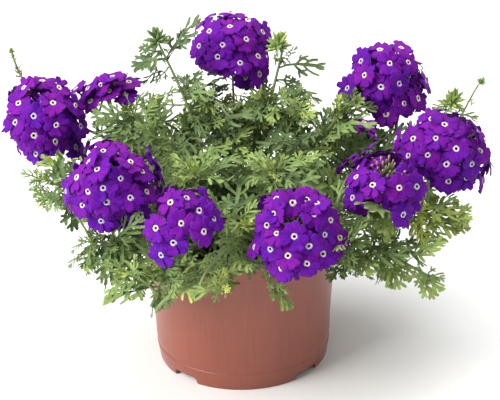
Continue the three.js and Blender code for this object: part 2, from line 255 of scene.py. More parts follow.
FOOT_LEAN = 0.156  # outwards for each unit of height, from the ground to the step
pot_profile = [
    [0.5, 6.2],
    [56, 6.2],
    [56.6, 0],
    [58.4, 0],
    [60.4, 12.1],
    [59.85, 12.9],
    [60.6, 17.5],
    wall_point(30),
    wall_point(86),
    wall_point(87, -1.1),
    [67.8, 100],
    wall_point(100, 1.5),
    wall_point(24, 1.5),
    [58.3, 13.5],
    [54.4, 8],
    [0.5, 8],
]
pot_rounding = [0.6, 0.4, 0.7, 0.6, 0.3, 1.5, 4, 0.4, 0.5, 0.9, 0.7, 4, 1.5, 1.5]
pot_line = rounded_line(pot_profile, pot_rounding) * MM

# Across a notch's side the lower edge of the foot climbs in these steps, in millimetres inwards
# from the side and up, so that both corners of the side are rounded.
NOTCH_SIDE = np.array([
    [-1.6, 0], [-0.75, 0.12], [-0.2, 0.55], [0, 1.3], [0.12, 3.2], [0.5, 4.2], [1.1, 4.8], [2, 5],
])  # fmt: skip
GROUND_RADIUS = 58.4


def within_half_turn(angles):
    """Angles brought between minus and plus half a turn."""
    return (angles + math.pi) % FULL_TURN - math.pi


def apart_from(bearings, others):
    """Angle from each bearing to the nearest of the others."""
    return np.abs(within_half_turn(bearings[:, None] - others)).min(1)


notch_middles = np.radians(-90 + FOOT_TURN + 90 * (np.arange(4) + 0.5))
notch_half = math.radians(NOTCH_ANGLE / 2) * GROUND_RADIUS
notch_offsets = (notch_half - NOTCH_SIDE[:, 0]) / GROUND_RADIUS
notch_bearings = (notch_middles[:, None] + np.concatenate([notch_offsets, -notch_offsets])).ravel()
even_bearings = np.radians(np.arange(-180, 180, 2.5))
even_bearings = even_bearings[apart_from(even_bearings, notch_bearings) >= math.radians(0.6)]
pot_bearings = np.unique(np.concatenate([even_bearings, within_half_turn(notch_bearings)]))
off_notch = apart_from(pot_bearings, notch_middles)
notch_roof = np.interp(off_notch, notch_offsets[::-1], NOTCH_SIDE[::-1, 1]) * MM
line_radii, line_heights = pot_line[:, :1], pot_line[:, 1:]
in_foot = (line_radii > 56.1 * MM) & (line_heights < 6 * MM)
pot_heights = np.where(in_foot, np.maximum(line_heights, notch_roof), line_heights)
foot_shift = (pot_heights - line_heights) * FOOT_LEAN * (line_radii > 57.5 * MM)
pot_radii = line_radii + foot_shift
pot_points, pot_faces = capped_turn(
    turned_grid(pot_radii, pot_heights, pot_bearings),
    [0, 0, POT_UNDERSIDE],
    [0, 0, POT_FLOOR],
)

# The nodes of every material are made by these functions. A socket argument is linked, and a plain
# number or list is set on the input itself.


def add_node(tree, kind, inputs, **settings):
    """A node of a kind with its settings, whose inputs are given by name or by number."""
    node = tree.nodes.new(kind)
    for key, value in settings.items():
        setattr(node, key, value)
    for key, value in inputs.items():
        if isinstance(value, bpy.types.NodeSocket):
            tree.links.new(value, node.inputs[key])
        else:
            node.inputs[key].default_value = value
    return node


def math_node(tree, operation, *values):
    """A math node of the given operation on sockets or plain numbers."""
    return add_node(tree, "ShaderNodeMath", dict(enumerate(values)), operation=operation).outputs[0]


def times(tree, colour, factor):
    """A colour socket multiplied by a value socket."""
    inputs = {0: colour, "Scale": factor}
    return add_node(tree, "ShaderNodeVectorMath", inputs, operation="SCALE").outputs[0]


def object_place(tree, stretch=(1, 1, 1)):
    """Object coordinates, stretched along each axis."""
    place = add_node(tree, "ShaderNodeTexCoord", {}).outputs["Object"]
    return add_node(tree, "ShaderNodeMapping", {"Vector": place, "Scale": stretch}).outputs["Vector"]


def smooth_range(tree, value, from_range, to_range):
    """A value socket carried smoothly from one range to another."""
    inputs = {"Value": value, "From Min": from_range[0], "From Max": from_range[1]}
    inputs |= {"To Min": to_range[0], "To Max": to_range[1]}
    kind = "ShaderNodeMapRange"
    return add_node(tree, kind, inputs, interpolation_type="SMOOTHSTEP").outputs["Result"]


def bumped(tree, shader, height, strength, distance):
    """Feeds a height socket to the shader's normal."""
    inputs = {"Strength": strength, "Distance": distance, "Height": height}
    bump = add_node(tree, "ShaderNodeBump", inputs)
    tree.links.new(bump.outputs["Normal"], shader.inputs["Normal"])


def flat_colour(tree, colour):
    """A colour node's socket."""
    node = add_node(tree, "ShaderNodeRGB", {})
    node.outputs[0].default_value = (*colour, 1)
    return node.outputs[0]


def ramp_of(tree, value, stops):
    """A colour ramp that reads a value socket. stops are places and colours."""
    node = add_node(tree, "ShaderNodeValToRGB", {"Fac": value})
    while len(node.color_ramp.elements) < len(stops):
        node.color_ramp.elements.new(0.5)
    for stop, (place, colour) in zip(node.color_ramp.elements, stops):
        stop.position = place
        stop.color = (*colour, 1)
    return node.outputs["Color"]


# One group lays a fine drift of tone over a surface, for plastic, leaf and petal alike.
drift = bpy.data.node_groups.new("fine_drift", "ShaderNodeTree")
drift.interface.new_socket("Place", in_out="INPUT", socket_type="NodeSocketVector")
for socket_name, start in (("Scale", 100.0), ("Low", 0.9), ("High", 1.1)):
    socket = drift.interface.new_socket(socket_name, in_out="INPUT", socket_type="NodeSocketFloat")
    socket.default_value = start
drift.interface.new_socket("Tone", in_out="OUTPUT", socket_type="NodeSocketFloat")
drift.interface.new_socket("Height", in_out="OUTPUT", socket_type="NodeSocketFloat")
drift_in = drift.nodes.new("NodeGroupInput").outputs
drift_noise = add_node(
    drift, "ShaderNodeTexNoise", {"Vector": drift_in["Place"], "Scale": drift_in["Scale"], "Detail": 4}
)
drift_range = add_node(
    drift,
    "ShaderNodeMapRange",
    {
        "Value": drift_noise.outputs["Fac"],
        "From Min": 0.3,
        "From Max": 0.7,
        "To Min": drift_in["Low"],
        "To Max": drift_in["High"],
    },
)
add_node(
    drift,
    "NodeGroupOutput",
    {"Tone": drift_range.outputs["Result"], "Height": drift_noise.outputs["Fac"]},
)


def drifted(tree, place, scale, low, high):
    """The drift group's Tone and Height sockets in a material, reading the given place socket."""
    inputs = {"Place": place, "Scale": scale, "Low": low, "High": high}
    outputs = add_node(tree, "ShaderNodeGroup", inputs, node_tree=drift).outputs
    return outputs["Tone"], outputs["Height"]


# Fine upright ribs run round the wall between the step and the lip, a little uneven in depth.
RIB_COUNT = 190.0
pot_plastic, tree, shader = new_material("satin_terracotta_plastic", 0.34)
pot_place = object_place(tree)
pot_axes = add_node(tree, "ShaderNodeSeparateXYZ", {"Vector": pot_place}).outputs
streak_tone, streak_height = drifted(tree, object_place(tree, (1, 1, 0.04)), 420, 0.94, 1.06)
cloud_tone, cloud_height = drifted(tree, pot_place, 28, 0.94, 1.06)
bearing = math_node(tree, "ARCTAN2", pot_axes["Y"], pot_axes["X"])
even_phase = math_node(tree, "MULTIPLY", bearing, RIB_COUNT)
rib_drift = math_node(tree, "MULTIPLY", cloud_height, 5.0)
rib_wave = math_node(tree, "SINE", math_node(tree, "ADD", even_phase, rib_drift))
above_step = smooth_range(tree, pot_axes["Z"], (0.0145, 0.018), (0.0, 1.0))
below_lip = smooth_range(tree, pot_axes["Z"], (0.078, 0.086), (1.0, 0.0))
ribs = math_node(tree, "MULTIPLY", rib_wave, math_node(tree, "MULTIPLY", above_step, below_lip))
# The colour is painted a little lighter on the rib crests and darker between them: painted shade of the
# relief.
rib_painted_shade = math_node(tree, "ADD", math_node(tree, "MULTIPLY", ribs, 0.02), 1.0)
streaked = times(tree, flat_colour(tree, (0.25, 0.067, 0.043)), streak_tone)
clouded = times(tree, streaked, cloud_tone)
tree.links.new(times(tree, clouded, rib_painted_shade), shader.inputs["Base Color"])
pot_relief = math_node(tree, "ADD", math_node(tree, "MULTIPLY", ribs, 0.16), streak_height)
bumped(tree, shader, pot_relief, 0.14, 0.0005)

pot_shell = filled_mesh("pot_shell", pot_points, pot_faces, [pot_plastic], crease=35)
drill_ring = np.linspace(0, FULL_TURN, 24, endpoint=False)
drill_points, drill_faces = capped_turn(
    turned_grid(np.full((2, 1), DRAIN_RADIUS), DRILL_ENDS, drill_ring),
    [0, 0, DRILL_ENDS[0, 0]],
    [0, 0, DRILL_ENDS[1, 0]],
)
drills = []
for bearing in notch_middles:
    shift = np.array([math.cos(bearing), math.sin(bearing), 0]) * DRAIN_CIRCLE
    drill = filled_mesh("drain_drill", drill_points + shift, drill_faces, [pot_plastic])
    cut = pot_shell.modifiers.new("drain", "BOOLEAN")
    cut.operation = "DIFFERENCE"
    cut.solver = "EXACT"
    cut.object = drill
    drills.append(drill)
graph = bpy.context.evaluated_depsgraph_get()
ready_pot = bpy.data.meshes.new_from_object(pot_shell.evaluated_get(graph))
pot_shell.modifiers.clear()
pot_shell.data = ready_pot
for drill in drills:
    bpy.data.objects.remove(drill)
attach(pot_shell, "root")
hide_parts("pot")

# ------------------------------------------------------------------------------ compost
# Dark fibrous compost fills the pot to about a centimetre below the lip, with a crumbled top.

SOIL_TOP = 88 * MM
SOIL_PEAK = SOIL_TOP + 1.2 * MM
SOIL_BOTTOM = 8.4
SOIL_FIT = 1.9  # from the pot's outside in to the compost: the wall and a fine gap


def crumbled(x, y):
    """Height of the crumbled top at (x, y): waves in many directions, each finer and lower."""
    height = np.zeros_like(x)
    for octave in range(14):
        angle = 2.4 * octave
        wave = (0.25 + 0.22 * octave) / MM * 0.5
        along = x * math.cos(angle) + y * math.sin(angle)
        height += np.sin(along * wave + 1.7 * octave) / (1 + 0.5 * octave)
    return 0.55 * MM * height


soil_bearings = np.linspace(-math.pi, math.pi, 120, endpoint=False)
soil_profile = [
    [0.5, SOIL_BOTTOM],
    [54.2, SOIL_BOTTOM],
    [57.9, 13.9],
    wall_point(24, SOIL_FIT),
    wall_point(87, SOIL_FIT),
    [60, 89],
]
soil_wall = rounded_line(soil_profile, [0.5] * 4) * MM
soil_side = turned_grid(soil_wall[:, :1], soil_wall[:, 1:], soil_bearings)
soil_top_radii = np.linspace(59.5, 1, 36)[:, None] * MM
soil_top = turned_grid(soil_top_radii, np.full_like(soil_top_radii, SOIL_PEAK), soil_bearings)
soil_fade = np.clip((61 * MM - soil_top_radii) / (4 * MM), 0, 1)
soil_top[..., 2] += crumbled(soil_top[..., 0], soil_top[..., 1]) * soil_fade
soil_grid = np.concatenate([soil_side, soil_top])
soil_points, soil_faces = capped_turn(soil_grid, [0, 0, SOIL_BOTTOM * MM], [0, 0, SOIL_PEAK])

compost, tree, shader = new_material("dark_compost", 0.95)
soil_tone, soil_height = drifted(tree, object_place(tree), 700, 0, 1)
soil_colour = ramp_of(tree, soil_tone, [(0, (0.012, 0.008, 0.005)), (1, (0.09, 0.05, 0.03))])
tree.links.new(soil_colour, shader.inputs["Base Color"])
bumped(tree, shader, soil_height, 0.8, 0.0012)

soil_fill = filled_mesh("compost_fill", soil_points, soil_faces, [compost])
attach(soil_fill, "root")
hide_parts("soil")

# ------------------------------------------------------------------------------ stems
# Square green stems rise from the compost, lean outwards and carry leaves in opposite pairs, each
# pair at right angles to the one below. Those of the flower heads are bare near the top.

ROOT_DEPTH = 11 * MM
CORE_SHARE = 0.42  # how far down a head's core reaches, as a share of its radius
STEM_GAP = 0.35 * MM  # between that core and the stem under it


def keyed_rows(keys, *table):
    """Rows of values as dictionaries. The last value of a row holds what only that row says."""
    return [dict(zip(keys, row), **extra) for *row, extra in table]


# Each flower head: its middle, the way it faces, its radius, the radius and bearing at which its
# stem leaves the compost, and how far the stem first climbs, in millimetres and degrees. A veiled
# head may have leaves before it, and leafy is the share of the stem that carries leaves.
HEADS = keyed_rows(
    ("at", "faces", "radius", "root", "rise"),
    ((-134, 36, 163), (-0.3, -0.86, 0.41), 28.5, (22, 168), 70, {}),
    ((-92, 67.5, 171), (-0.24, 0.21, 0.95), 22, (20, 144), 70, {}),
    ((-3, 49, 202.5), (0, -0.67, 0.74), 28.5, (9, 100), 80, {"leafy": 0.6}),
    ((101, 46, 178), (0.31, -0.47, 0.83), 30, (20, 22), 70, {"veiled": True}),
    ((135.5, -13.5, 153.5), (0.4, -0.74, 0.54), 30.5, (23, -10), 62, {}),
    ((92, -63, 151), (-0.05, -0.29, 0.96), 27, (24, -36), 48, {}),
    ((36, -86.5, 132.5), (0, -0.72, 0.69), 30, (25, -68), 52, {}),
    ((-37, -88.5, 139), (0.05, -0.5, 0.87), 26, (25, -112), 50, {}),
    ((-83, -46.5, 148), (-0.1, -0.56, 0.83), 30, (24, -146), 52, {}),
    ((80, 88, 108), (0.45, 0.65, 0.62), 28, (24, 50), 76, {"veiled": True}),
    ((-76, 88, 106), (-0.4, 0.7, 0.62), 28, (24, 124), 82, {"veiled": True}),
    ((2, 99, 112), (0, 0.75, 0.66), 27, (24, 86), 84, {"veiled": True}),
)

# Each leafy shoot: its tip and how steeply it gets there, then its root and its climb as above.
# shown is how many points of its line are drawn, age runs from 0 for old leaves to 1 for new ones,
# buds is the age of a tuft of buds that stands crown above the tip, and rosette its leaves' length.
# The raised ages of the three shoots that hang at the lower right front paint their leaves lighter: painted
# fill light on that shaded side.
SHOOTS = keyed_rows(
    ("tip", "steep", "root", "rise"),
    ((-50, 15, 222), 64, (15, 172), 85, {"buds": 0.18, "crown": 6, "leafy": 0.6, "age": 0.13}),
    ((31, 36, 207), 68, (15, 50), 80, {"buds": 0.45, "crown": 7, "leafy": 0.6, "age": 0.2}),
    ((70, 11, 174), 57, (14, 2), 65, {"rosette": 15}),
    ((152, 35, 173), 58, (30, 12), 56, {"buds": 0.5, "crown": 1, "leafy": 0.85, "shown": 24}),
    ((148, -56, 118), -9, (31, -22), 44, {"age": 0.62}),
    ((124, -77, 92), -20, (31, -38), 44, {"age": 0.6}),
    ((84, -91, 96), -25, (32, -53), 36, {"shown": 23, "age": 0.56}),
    ((20, -110, 94), -38, (32, -80), 27, {"shown": 23}),
    ((-10, -118, 104), -13, (32, -97), 34, {}),
    ((-58, -100, 89), -36, (32, -126), 34, {}),
    ((-118, -60, 102), -12, (32, -156), 36, {"shown": 22}),
    ((-128, -17, 141), 31, (30, 180), 42, {}),
    ((-71, 21, 173), 58, (12, 150), 62, {}),
    ((-30, -41, 156), 68, (12, -140), 56, {}),
    ((22, -39, 155), 68, (12, -50), 56, {}),
    ((14, 48, 157), 71, (20, 78), 58, {"age": 0.5}),
    ((0, -82, 133), 27, (18, -90), 44, {}),
    ((130, 43, 104), -14, (31, 24), 38, {}),
    ((114, 74, 94), -24, (32, 40), 38, {}),
    ((38, 113, 96), -30, (32, 70), 34, {}),
    ((-38, 113, 97), -28, (32, 104), 34, {}),
    ((-114, 72, 96), -25, (32, 140), 34, {}),
    ((-134, 19, 107), -15, (32, 162), 36, {}),
)


def root_place(root):
    """Where a stem's root, given as radius and bearing, lies on the ground."""
    bearing = math.radians(root[1])
    return np.array([root[0] * MM * math.cos(bearing), root[0] * MM * math.sin(bearing), 0])


def cubic_curve(start, first, second, end, count):
    """Points of the curve of the third degree with these four corners as its controls."""
    share = np.linspace(0, 1, count)[:, None]
    rest = 1 - share
    return rest**3 * start + 3 * rest**2 * share * first + 3 * rest * share**2 * second + share**3 * end


def stem_line(root, rise, end, direction, reach, steps):
    """Points of a stem's middle line, a cubic curve: out of the soil and up by rise while it leans
    the way it is going, then over to its end, which it reaches along the direction given."""
    start = root_place(root) + [0, 0, SOIL_TOP - ROOT_DEPTH]
    away = (end - start) * [1, 1, 0]
    distance = np.linalg.norm(away)
    lean = min(0.22 * distance, 0.45 * rise)
    climb = start + away / distance * lean + [0, 0, rise]
    before = end - direction * reach
    return cubic_curve(start, climb, before, end, steps + 1)


def line_frames(line):
    """Directions along a line, and two directions square to it, made from one normal that is
    square to the line's chord and to its sag."""
    along = unit(np.gradient(line, axis=0))
    chord = line[-1] - line[0]
    sag = line[len(line) // 2] - (line[0] + line[-1]) / 2
    plane = np.cross(chord, sag)
    if np.linalg.norm(plane) < 1e-9:
        plane = np.cross(chord, [0.3, 0.2, 1])
    side = unit(plane - (along @ plane)[:, None] * along)
    return along, side, np.cross(side, along)


def square_tube(line, widths):
    """A closed square tube along a line with a width for each point: four corners to a point, and
    a face over each end. Returns its points and quads."""
    _, side, over = line_frames(line)
    half = np.asarray(widths)[:, None, None] / 2
    corners = np.array([[-1, -1], [1, -1], [1, 1], [-1, 1]])
    ring = half * (corners[:, :1] * side[:, None] + corners[:, 1:] * over[:, None])
    points = (line[:, None] + ring).reshape(-1, 3)
    index = np.arange(len(points)).reshape(-1, 4)
    ahead = np.roll(index, -1, axis=1)
    quads = np.stack([index[:-1], index[1:], ahead[1:], ahead[:-1]], -1).reshape(-1, 4)
    return points, np.concatenate([quads, [index[0]], [index[-1][::-1]]])


# ------------------------------------------------------------------------------ leaves
# Each leaf is cut nearly to its midrib into blunt lobes, most of which fork again. The blade is
# thin and slightly channelled, grey-green with fine down, and yellower where it is young.


def repeated(points, quads, triangles, values):
    """Copies of one shape as one shape. points holds a row of points for each copy, and the faces
    and values are those of a single copy."""
    count, size = points.shape[:2]
    shift = (np.arange(count) * size)[:, None, None]
    many = np.tile(values, (count,) + (1,) * (values.ndim - 1))
    return points.reshape(-1, 3), (quads + shift).reshape(-1, 4), (triangles + shift).reshape(-1, 3), many


def lobes(starts, bearings, lengths, turns, widths, rows):
    """Blunt lobes in a leaf's plane, all at once. Each has a middle line that leaves its start at a
    bearing from the leaf's axis and turns evenly as it goes, and a three-cornered section: two
    edges and a keel under the middle. It is narrow at its start, widest at three quarters, and ends
    in one point beyond its last row. Returns points, quads, triangles, and the place across."""
    count = len(starts)
    share = np.linspace(0, 1, rows)
    heading = bearings[:, None] + turns[:, None] * share
    step = lengths[:, None] / (rows - 1)
    between = (heading[:, 1:] + heading[:, :-1]) / 2
    start_column = np.zeros((count, 1))
    x = starts[:, :1] + np.concatenate([start_column, np.cumsum(np.sin(between) * step, 1)], 1)
    y = starts[:, 1:] + np.concatenate([start_column, np.cumsum(np.cos(between) * step, 1)], 1)
    flat = np.stack([x, y], -1)
    half = widths[:, None] * np.interp(share, [0, 0.4, 0.78, 1], [0.6, 0.8, 1, 0.74])
    sideways = np.stack([np.cos(heading), -np.sin(heading)], -1) * half[..., None]
    section = np.zeros((count, rows, 3, 3))
    section[:, :, 0, :2] = flat - sideways
    section[:, :, 1, :2] = flat + sideways
    section[:, :, 2, :2] = flat
    section[:, :, 2, 2] = -0.45 * half
    end = np.zeros((count, 1, 3))
    onward = np.stack([np.sin(heading[:, -1]), np.cos(heading[:, -1])], -1)
    end[:, 0, :2] = flat[:, -1] + onward * half[:, -1:]
    points = np.concatenate([section.reshape(count, -1, 3), end], 1)
    left, right, keel = np.arange(rows * 3).reshape(rows, 3).T
    last = rows * 3
    sides = [
        [left[:-1], right[:-1], right[1:], left[1:]],
        [left[:-1], left[1:], keel[1:], keel[:-1]],
        [keel[:-1], keel[1:], right[1:], right[:-1]],
    ]
    quads = np.concatenate([np.stack(side, -1) for side in sides])
    triangles = np.array(
        [
            [left[-1], right[-1], last],
            [left[-1], last, keel[-1]],
            [keel[-1], last, right[-1]],
            [left[0], keel[0], right[0]],
        ]
    )
    across = np.concatenate([np.tile([0.0, 1.0, 0.5], rows), [0.5]])
    return repeated(points, quads, triangles, across)


def joined(parts):
    """Several (points, quads, triangles, values) shapes as one."""
    points, quads, triangles, values = zip(*parts)
    shifts = np.cumsum([0] + [len(group) for group in points[:-1]])
    return (
        np.concatenate(points),
        np.concatenate([faces + shift for faces, shift in zip(quads, shifts)]),
        np.concatenate([faces + shift for faces, shift in zip(triangles, shifts)]),
        np.concatenate(values),
    )


def cut_leaf(seed, pairs, forks, arch, breadth, first=0.27, sway=0.12):
    """A cut leaf one unit long, from its base along Y, facing up Z: a midrib, pairs of lobes that
    curve forward, and two forks on each lobe of the lowest pairs. first is the place of the lowest
    pair, below which the rib is bare. The leaf is arched down by the angle arch from base to tip and
    sways to a side, its sides droop by the square of their distance from the rib, and its lobes
    wave."""
    draw = np.random.default_rng(seed)
    rib_turn = draw.normal(0, sway, 1)
    rib_start = np.array([[0.0, 0.0]])
    rib_length = np.array([0.97])
    parts = [lobes(rib_start, -rib_turn / 2, rib_length, rib_turn, np.array([1.05 * breadth]), 6)]
    level = np.repeat(np.linspace(first, 0.78, pairs), 2) + draw.normal(0, 0.02, 2 * pairs)
    sign = np.tile([-1.0, 1.0], pairs)
    size = np.interp(level, [0.2, 0.5, 0.8], [0.35, 0.36, 0.2]) * draw.uniform(0.82, 1.15, 2 * pairs)
    bearing = sign * np.radians(np.interp(level, [0.2, 0.8], [62, 42]) + draw.normal(0, 6, 2 * pairs))
    turn = -sign * draw.uniform(0.2, 0.8, 2 * pairs)
    starts = np.stack([np.zeros(2 * pairs), level], -1)
    parts.append(lobes(starts, bearing, size, turn, np.full(2 * pairs, breadth), 4))
    if forks:
        low = slice(0, 2 * forks)
        for place, swing, share in ((0.4, 0.85, 0.5), (0.55, -0.75, 0.42)):
            middle = bearing[low] + turn[low] * place / 2
            reach = np.stack([np.sin(middle), np.cos(middle)], -1) * (size[low] * place)[:, None]
            fork_bearing = bearing[low] + turn[low] * place + sign[low] * swing
            fork_size = size[low] * share * draw.uniform(0.8, 1.1, 2 * forks)
            fork_width = np.full(2 * forks, 0.88 * breadth)
            parts.append(lobes(starts[low] + reach, fork_bearing, fork_size, turn[low] * 0.6, fork_width, 3))
    points, quads, triangles, across = joined(parts)
    x, y, z = points.T
    z = z - 0.5 * x**2 + 0.03 * np.sin(9 * x + 7 * y + seed) + 0.02 * np.sin(23 * x - 11 * y + 2 * seed)
    angle = arch * np.maximum(y, 0)
    ahead = np.sin(angle) / arch + z * np.sin(angle)
    height = z * np.cos(angle) - (1 - np.cos(angle)) / arch
    return np.stack([x, ahead, height], -1), quads, triangles, across


def leaf_set(first_seed, *forms):
    """A leaf for each form: pairs, forks, arch and breadth, and for some the first pair and sway."""
    return [cut_leaf(first_seed + number, *form) for number, form in enumerate(forms)]


LARGE_LEAVES = leaf_set(
    0,
    (3, 2, 0.6, 0.041),
    (3, 1, 1.0, 0.044),
    (3, 2, 0.3, 0.039),
    (4, 1, 1.4, 0.037),
    (3, 2, 0.8, 0.042),
    (3, 1, 1.3, 0.042),
    (4, 1, 0.5, 0.037),
    (3, 2, 1.7, 0.04),
)
FINE_LEAVES = leaf_set(
    10,
    (4, 1, 0.5, 0.033),
    (3, 1, 1.0, 0.037),
    (3, 1, 0.3, 0.036),
    (4, 1, -0.4, 0.032),
    (3, 2, 0.8, 0.034),
    (4, 0, 1.3, 0.034),
)
SMALL_LEAVES = leaf_set(20, (2, 0, 0.4, 0.055), (3, 0, 0.9, 0.05), (2, 0, 1.3, 0.055), (3, 0, -0.5, 0.05))
YOUNG_LEAVES = leaf_set(30, (3, 0, 0.3, 0.06), (3, 0, -0.5, 0.06), (2, 0, 0.8, 0.065), (3, 0, -0.9, 0.06))
SLENDER = leaf_set(
    40,
    (3, 1, 0.3, 0.036, 0.36, 0.5),
    (3, 1, 0.7, 0.038, 0.42, 0.4),
    (3, 1, 0.2, 0.034, 0.34, 0.6),
    (3, 1, 0.9, 0.036, 0.36, 0.5),
)
BROAD = leaf_set(
    50,
    (3, 2, 0.4, 0.05, 0.3, 0.3),
    (3, 2, 0.8, 0.052, 0.34, 0.2),
    (3, 1, 0.2, 0.055, 0.32, 0.4),
)

LEAF_MATERIAL, STEM_MATERIAL = 0, 1


class Foliage:
    """Gathers the leaves and stems of one plant as arrays, to make one mesh of them."""

    def __init__(self):
        self.points, self.quads, self.triangles, self.uv, self.kinds = [], [], [], [], [[], []]
        self.count = 0

    def add(self, points, quads, triangles, across, age, kind):
        """Adds a part: its place across and its age are kept as its map."""
        self.points.append(points)
        self.quads.append(quads + self.count)
        self.triangles.append(triangles + self.count)
        self.uv.append(np.stack([across, age], -1))
        self.kinds[0].append(np.full(len(quads), kind))
        self.kinds[1].append(np.full(len(triangles), kind))
        self.count += len(points)

    def add_tube(self, line, widths, age):
        """Adds a square stem along a line."""
        points, quads = square_tube(line, widths)
        across = np.tile([0.0, 1.0, 0.0, 1.0], len(line))
        self.add(points, quads, np.zeros((0, 3), dtype=int), across, np.full(len(points), age), STEM_MATERIAL)


# How far the plant reaches as seen from the front: places right of and above the middle of the
# view, in millimetres, clockwise from the faded stalk at the upper left.
OUTLINE = np.array([
    (-165, 102), (-160, 102), (-154, 86), (-128, 82), (-103, 83), (-101, 91), (-83, 91), (-78, 103),
    (-67, 117), (-50, 127), (-33, 128), (-7, 131), (14, 124), (27, 115), (36, 97), (53, 90), (42, 79),
    (38, 73), (47, 69), (36, 58), (47, 53), (54, 63), (53, 70), (63, 73), (75, 102), (95, 110),
    (110, 103), (124, 78), (120, 65), (140, 77), (152, 71), (159, 82), (163, 80), (151, 61), (160, 42),
    (170, 27), (162, -1), (144, 3), (152, -5), (150, -20), (133, -15), (128, -22), (130, -28),
    (112, -33), (110, -46), (123, -47), (132, -59), (125, -66), (112, -58), (103, -53), (97, -55),
    (86, -47), (64, -50), (36, -52), (33, -69), (28, -70), (23, -63), (8, -48), (-10, -51), (-10, -61),
    (-41, -61), (-53, -61), (-54, -70), (-66, -75), (-70, -61), (-82, -61), (-90, -58), (-99, -63),
    (-102, -59), (-101, -49), (-122, -46), (-110, -29), (-120, -11), (-129, -4), (-139, -10), (-154, 5),
    (-144, 15), (-159, 16), (-147, 27), (-159, 25), (-170, 46), (-170, 69), (-158, 76),
]) * MM  # fmt: skip


def seen_from_front(points):
    """How far right and up of the view's middle points look, on the upright plane through it: their
    own distances, drawn out as much as they are nearer than that plane."""
    nearness = VIEW_DISTANCE / ((camera_place - points) @ view_back)
    return (points - VIEW_MIDDLE) @ np.stack([view_right, view_up], 1) * nearness[:, None]


def within(outline, places):
    """True for each place inside a closed outline: a level line drawn from it to the right crosses
    an odd number of the outline's sides."""
    x, y = places[:, :1], places[:, 1:]
    x1, y1 = outline.T
    x2, y2 = np.roll(outline, -1, axis=0).T
    rise = np.where(y1 == y2, 1, y2 - y1)
    crossed = ((y1 > y) != (y2 > y)) & (x < (x2 - x1) * (y - y1) / rise + x1)
    return crossed.sum(1) % 2 == 1


LOWEST_LEAF = 63 * MM
BOX_MARGIN = 9 * MM  # how far leaves may stand out of the box round the solids
INSIDE_HEAD = 0.97  # the share of a head's radius within which no leaf stands
BEFORE_HEAD = 0.82  # the share of it before which no leaf stands, unless the head is veiled


def clear_of_others(base, tip):
    """True for each leaf whose tip and middle lie outside the pot, the soil and the flower heads,
    above the height to which leaves hang and within the plant's outline, and hide no head but
    the veiled ones from the front."""
    free = np.full(len(tip), True)
    box_low = np.array(cad_box[0]) - BOX_MARGIN
    box_high = np.array(cad_box[1]) + BOX_MARGIN
    for share in (0.6, 1.0):
        spot = base + (tip - base) * share
        free &= within(OUTLINE, seen_from_front(spot))
        away = np.hypot(spot[:, 0], spot[:, 1])
        over_pot = away < RIM_RADIUS + 2 * MM
        over_soil = away <= RIM_RADIUS - 8 * MM
        in_wall = over_pot & (away > RIM_RADIUS - 8 * MM) & (spot[:, 2] < POT_HEIGHT - 1 * MM)
        in_soil = over_soil & (spot[:, 2] < SOIL_TOP + 4 * MM)
        free &= ~in_wall & ~in_soil & (spot[:, 2] > LOWEST_LEAF)
        free &= ((spot > box_low) & (spot < box_high)).all(1)
        for head in HEADS:
            radius = head["radius"] * MM
            apart = spot - np.array(head["at"]) * MM
            free &= np.linalg.norm(apart, axis=1) > INSIDE_HEAD * radius
            aside = np.hypot(apart @ view_right, apart @ view_up)
            free &= (apart @ view_back < 0) | (aside > BEFORE_HEAD * radius) | ("veiled" in head)
    return free


def grow_leaves(foliage, draw, base, direction, length, age, templates):
    """Sets a leaf at each base where it is clear of the rest, at its length or at six tenths of it."""
    free = clear_of_others(base, base + direction * length[:, None])
    length = np.where(free, length, 0.6 * length)
    free = clear_of_others(base, base + direction * length[:, None])
    set_leaves(foliage, draw, base[free], direction[free], length[free], age[free], templates)


TO_LIGHT = np.array([-0.15, -0.3, 1.0])
LEAF_AGEING = 0.12  # how much younger a leaf is at its tip than at its base


def set_leaves(foliage, draw, base, direction, length, age, templates):
    """Sets one leaf at each base, pointing along direction, its face turned towards the light as
    far as its direction lets it, with a random roll."""
    light = TO_LIGHT + draw.normal(0, 0.4, (len(base), 3))
    across = unit(np.cross(direction, light))
    axes = np.stack([across, direction, np.cross(across, direction)], 1)
    choice = draw.integers(0, len(templates), len(base))
    for number, (shape, quads, triangles, place_across) in enumerate(templates):
        mine = choice == number
        if mine.any():
            scaled = shape[None] * length[mine][:, None, None]
            x, y, z = np.moveaxis(axes[mine], 1, 0)[:, :, None]
            leaves = base[mine][:, None] + scaled[..., :1] * x + scaled[..., 1:2] * y + scaled[..., 2:] * z
            ages = np.repeat(age[mine], len(shape)) + LEAF_AGEING * np.tile(shape[:, 1], mine.sum())
            points, quads, triangles, values = repeated(leaves, quads, triangles, place_across)
            foliage.add(points, quads, triangles, values, ages, LEAF_MATERIAL)


NODE_SPACING = 16 * MM
PAIR_LENGTH = 40 * MM


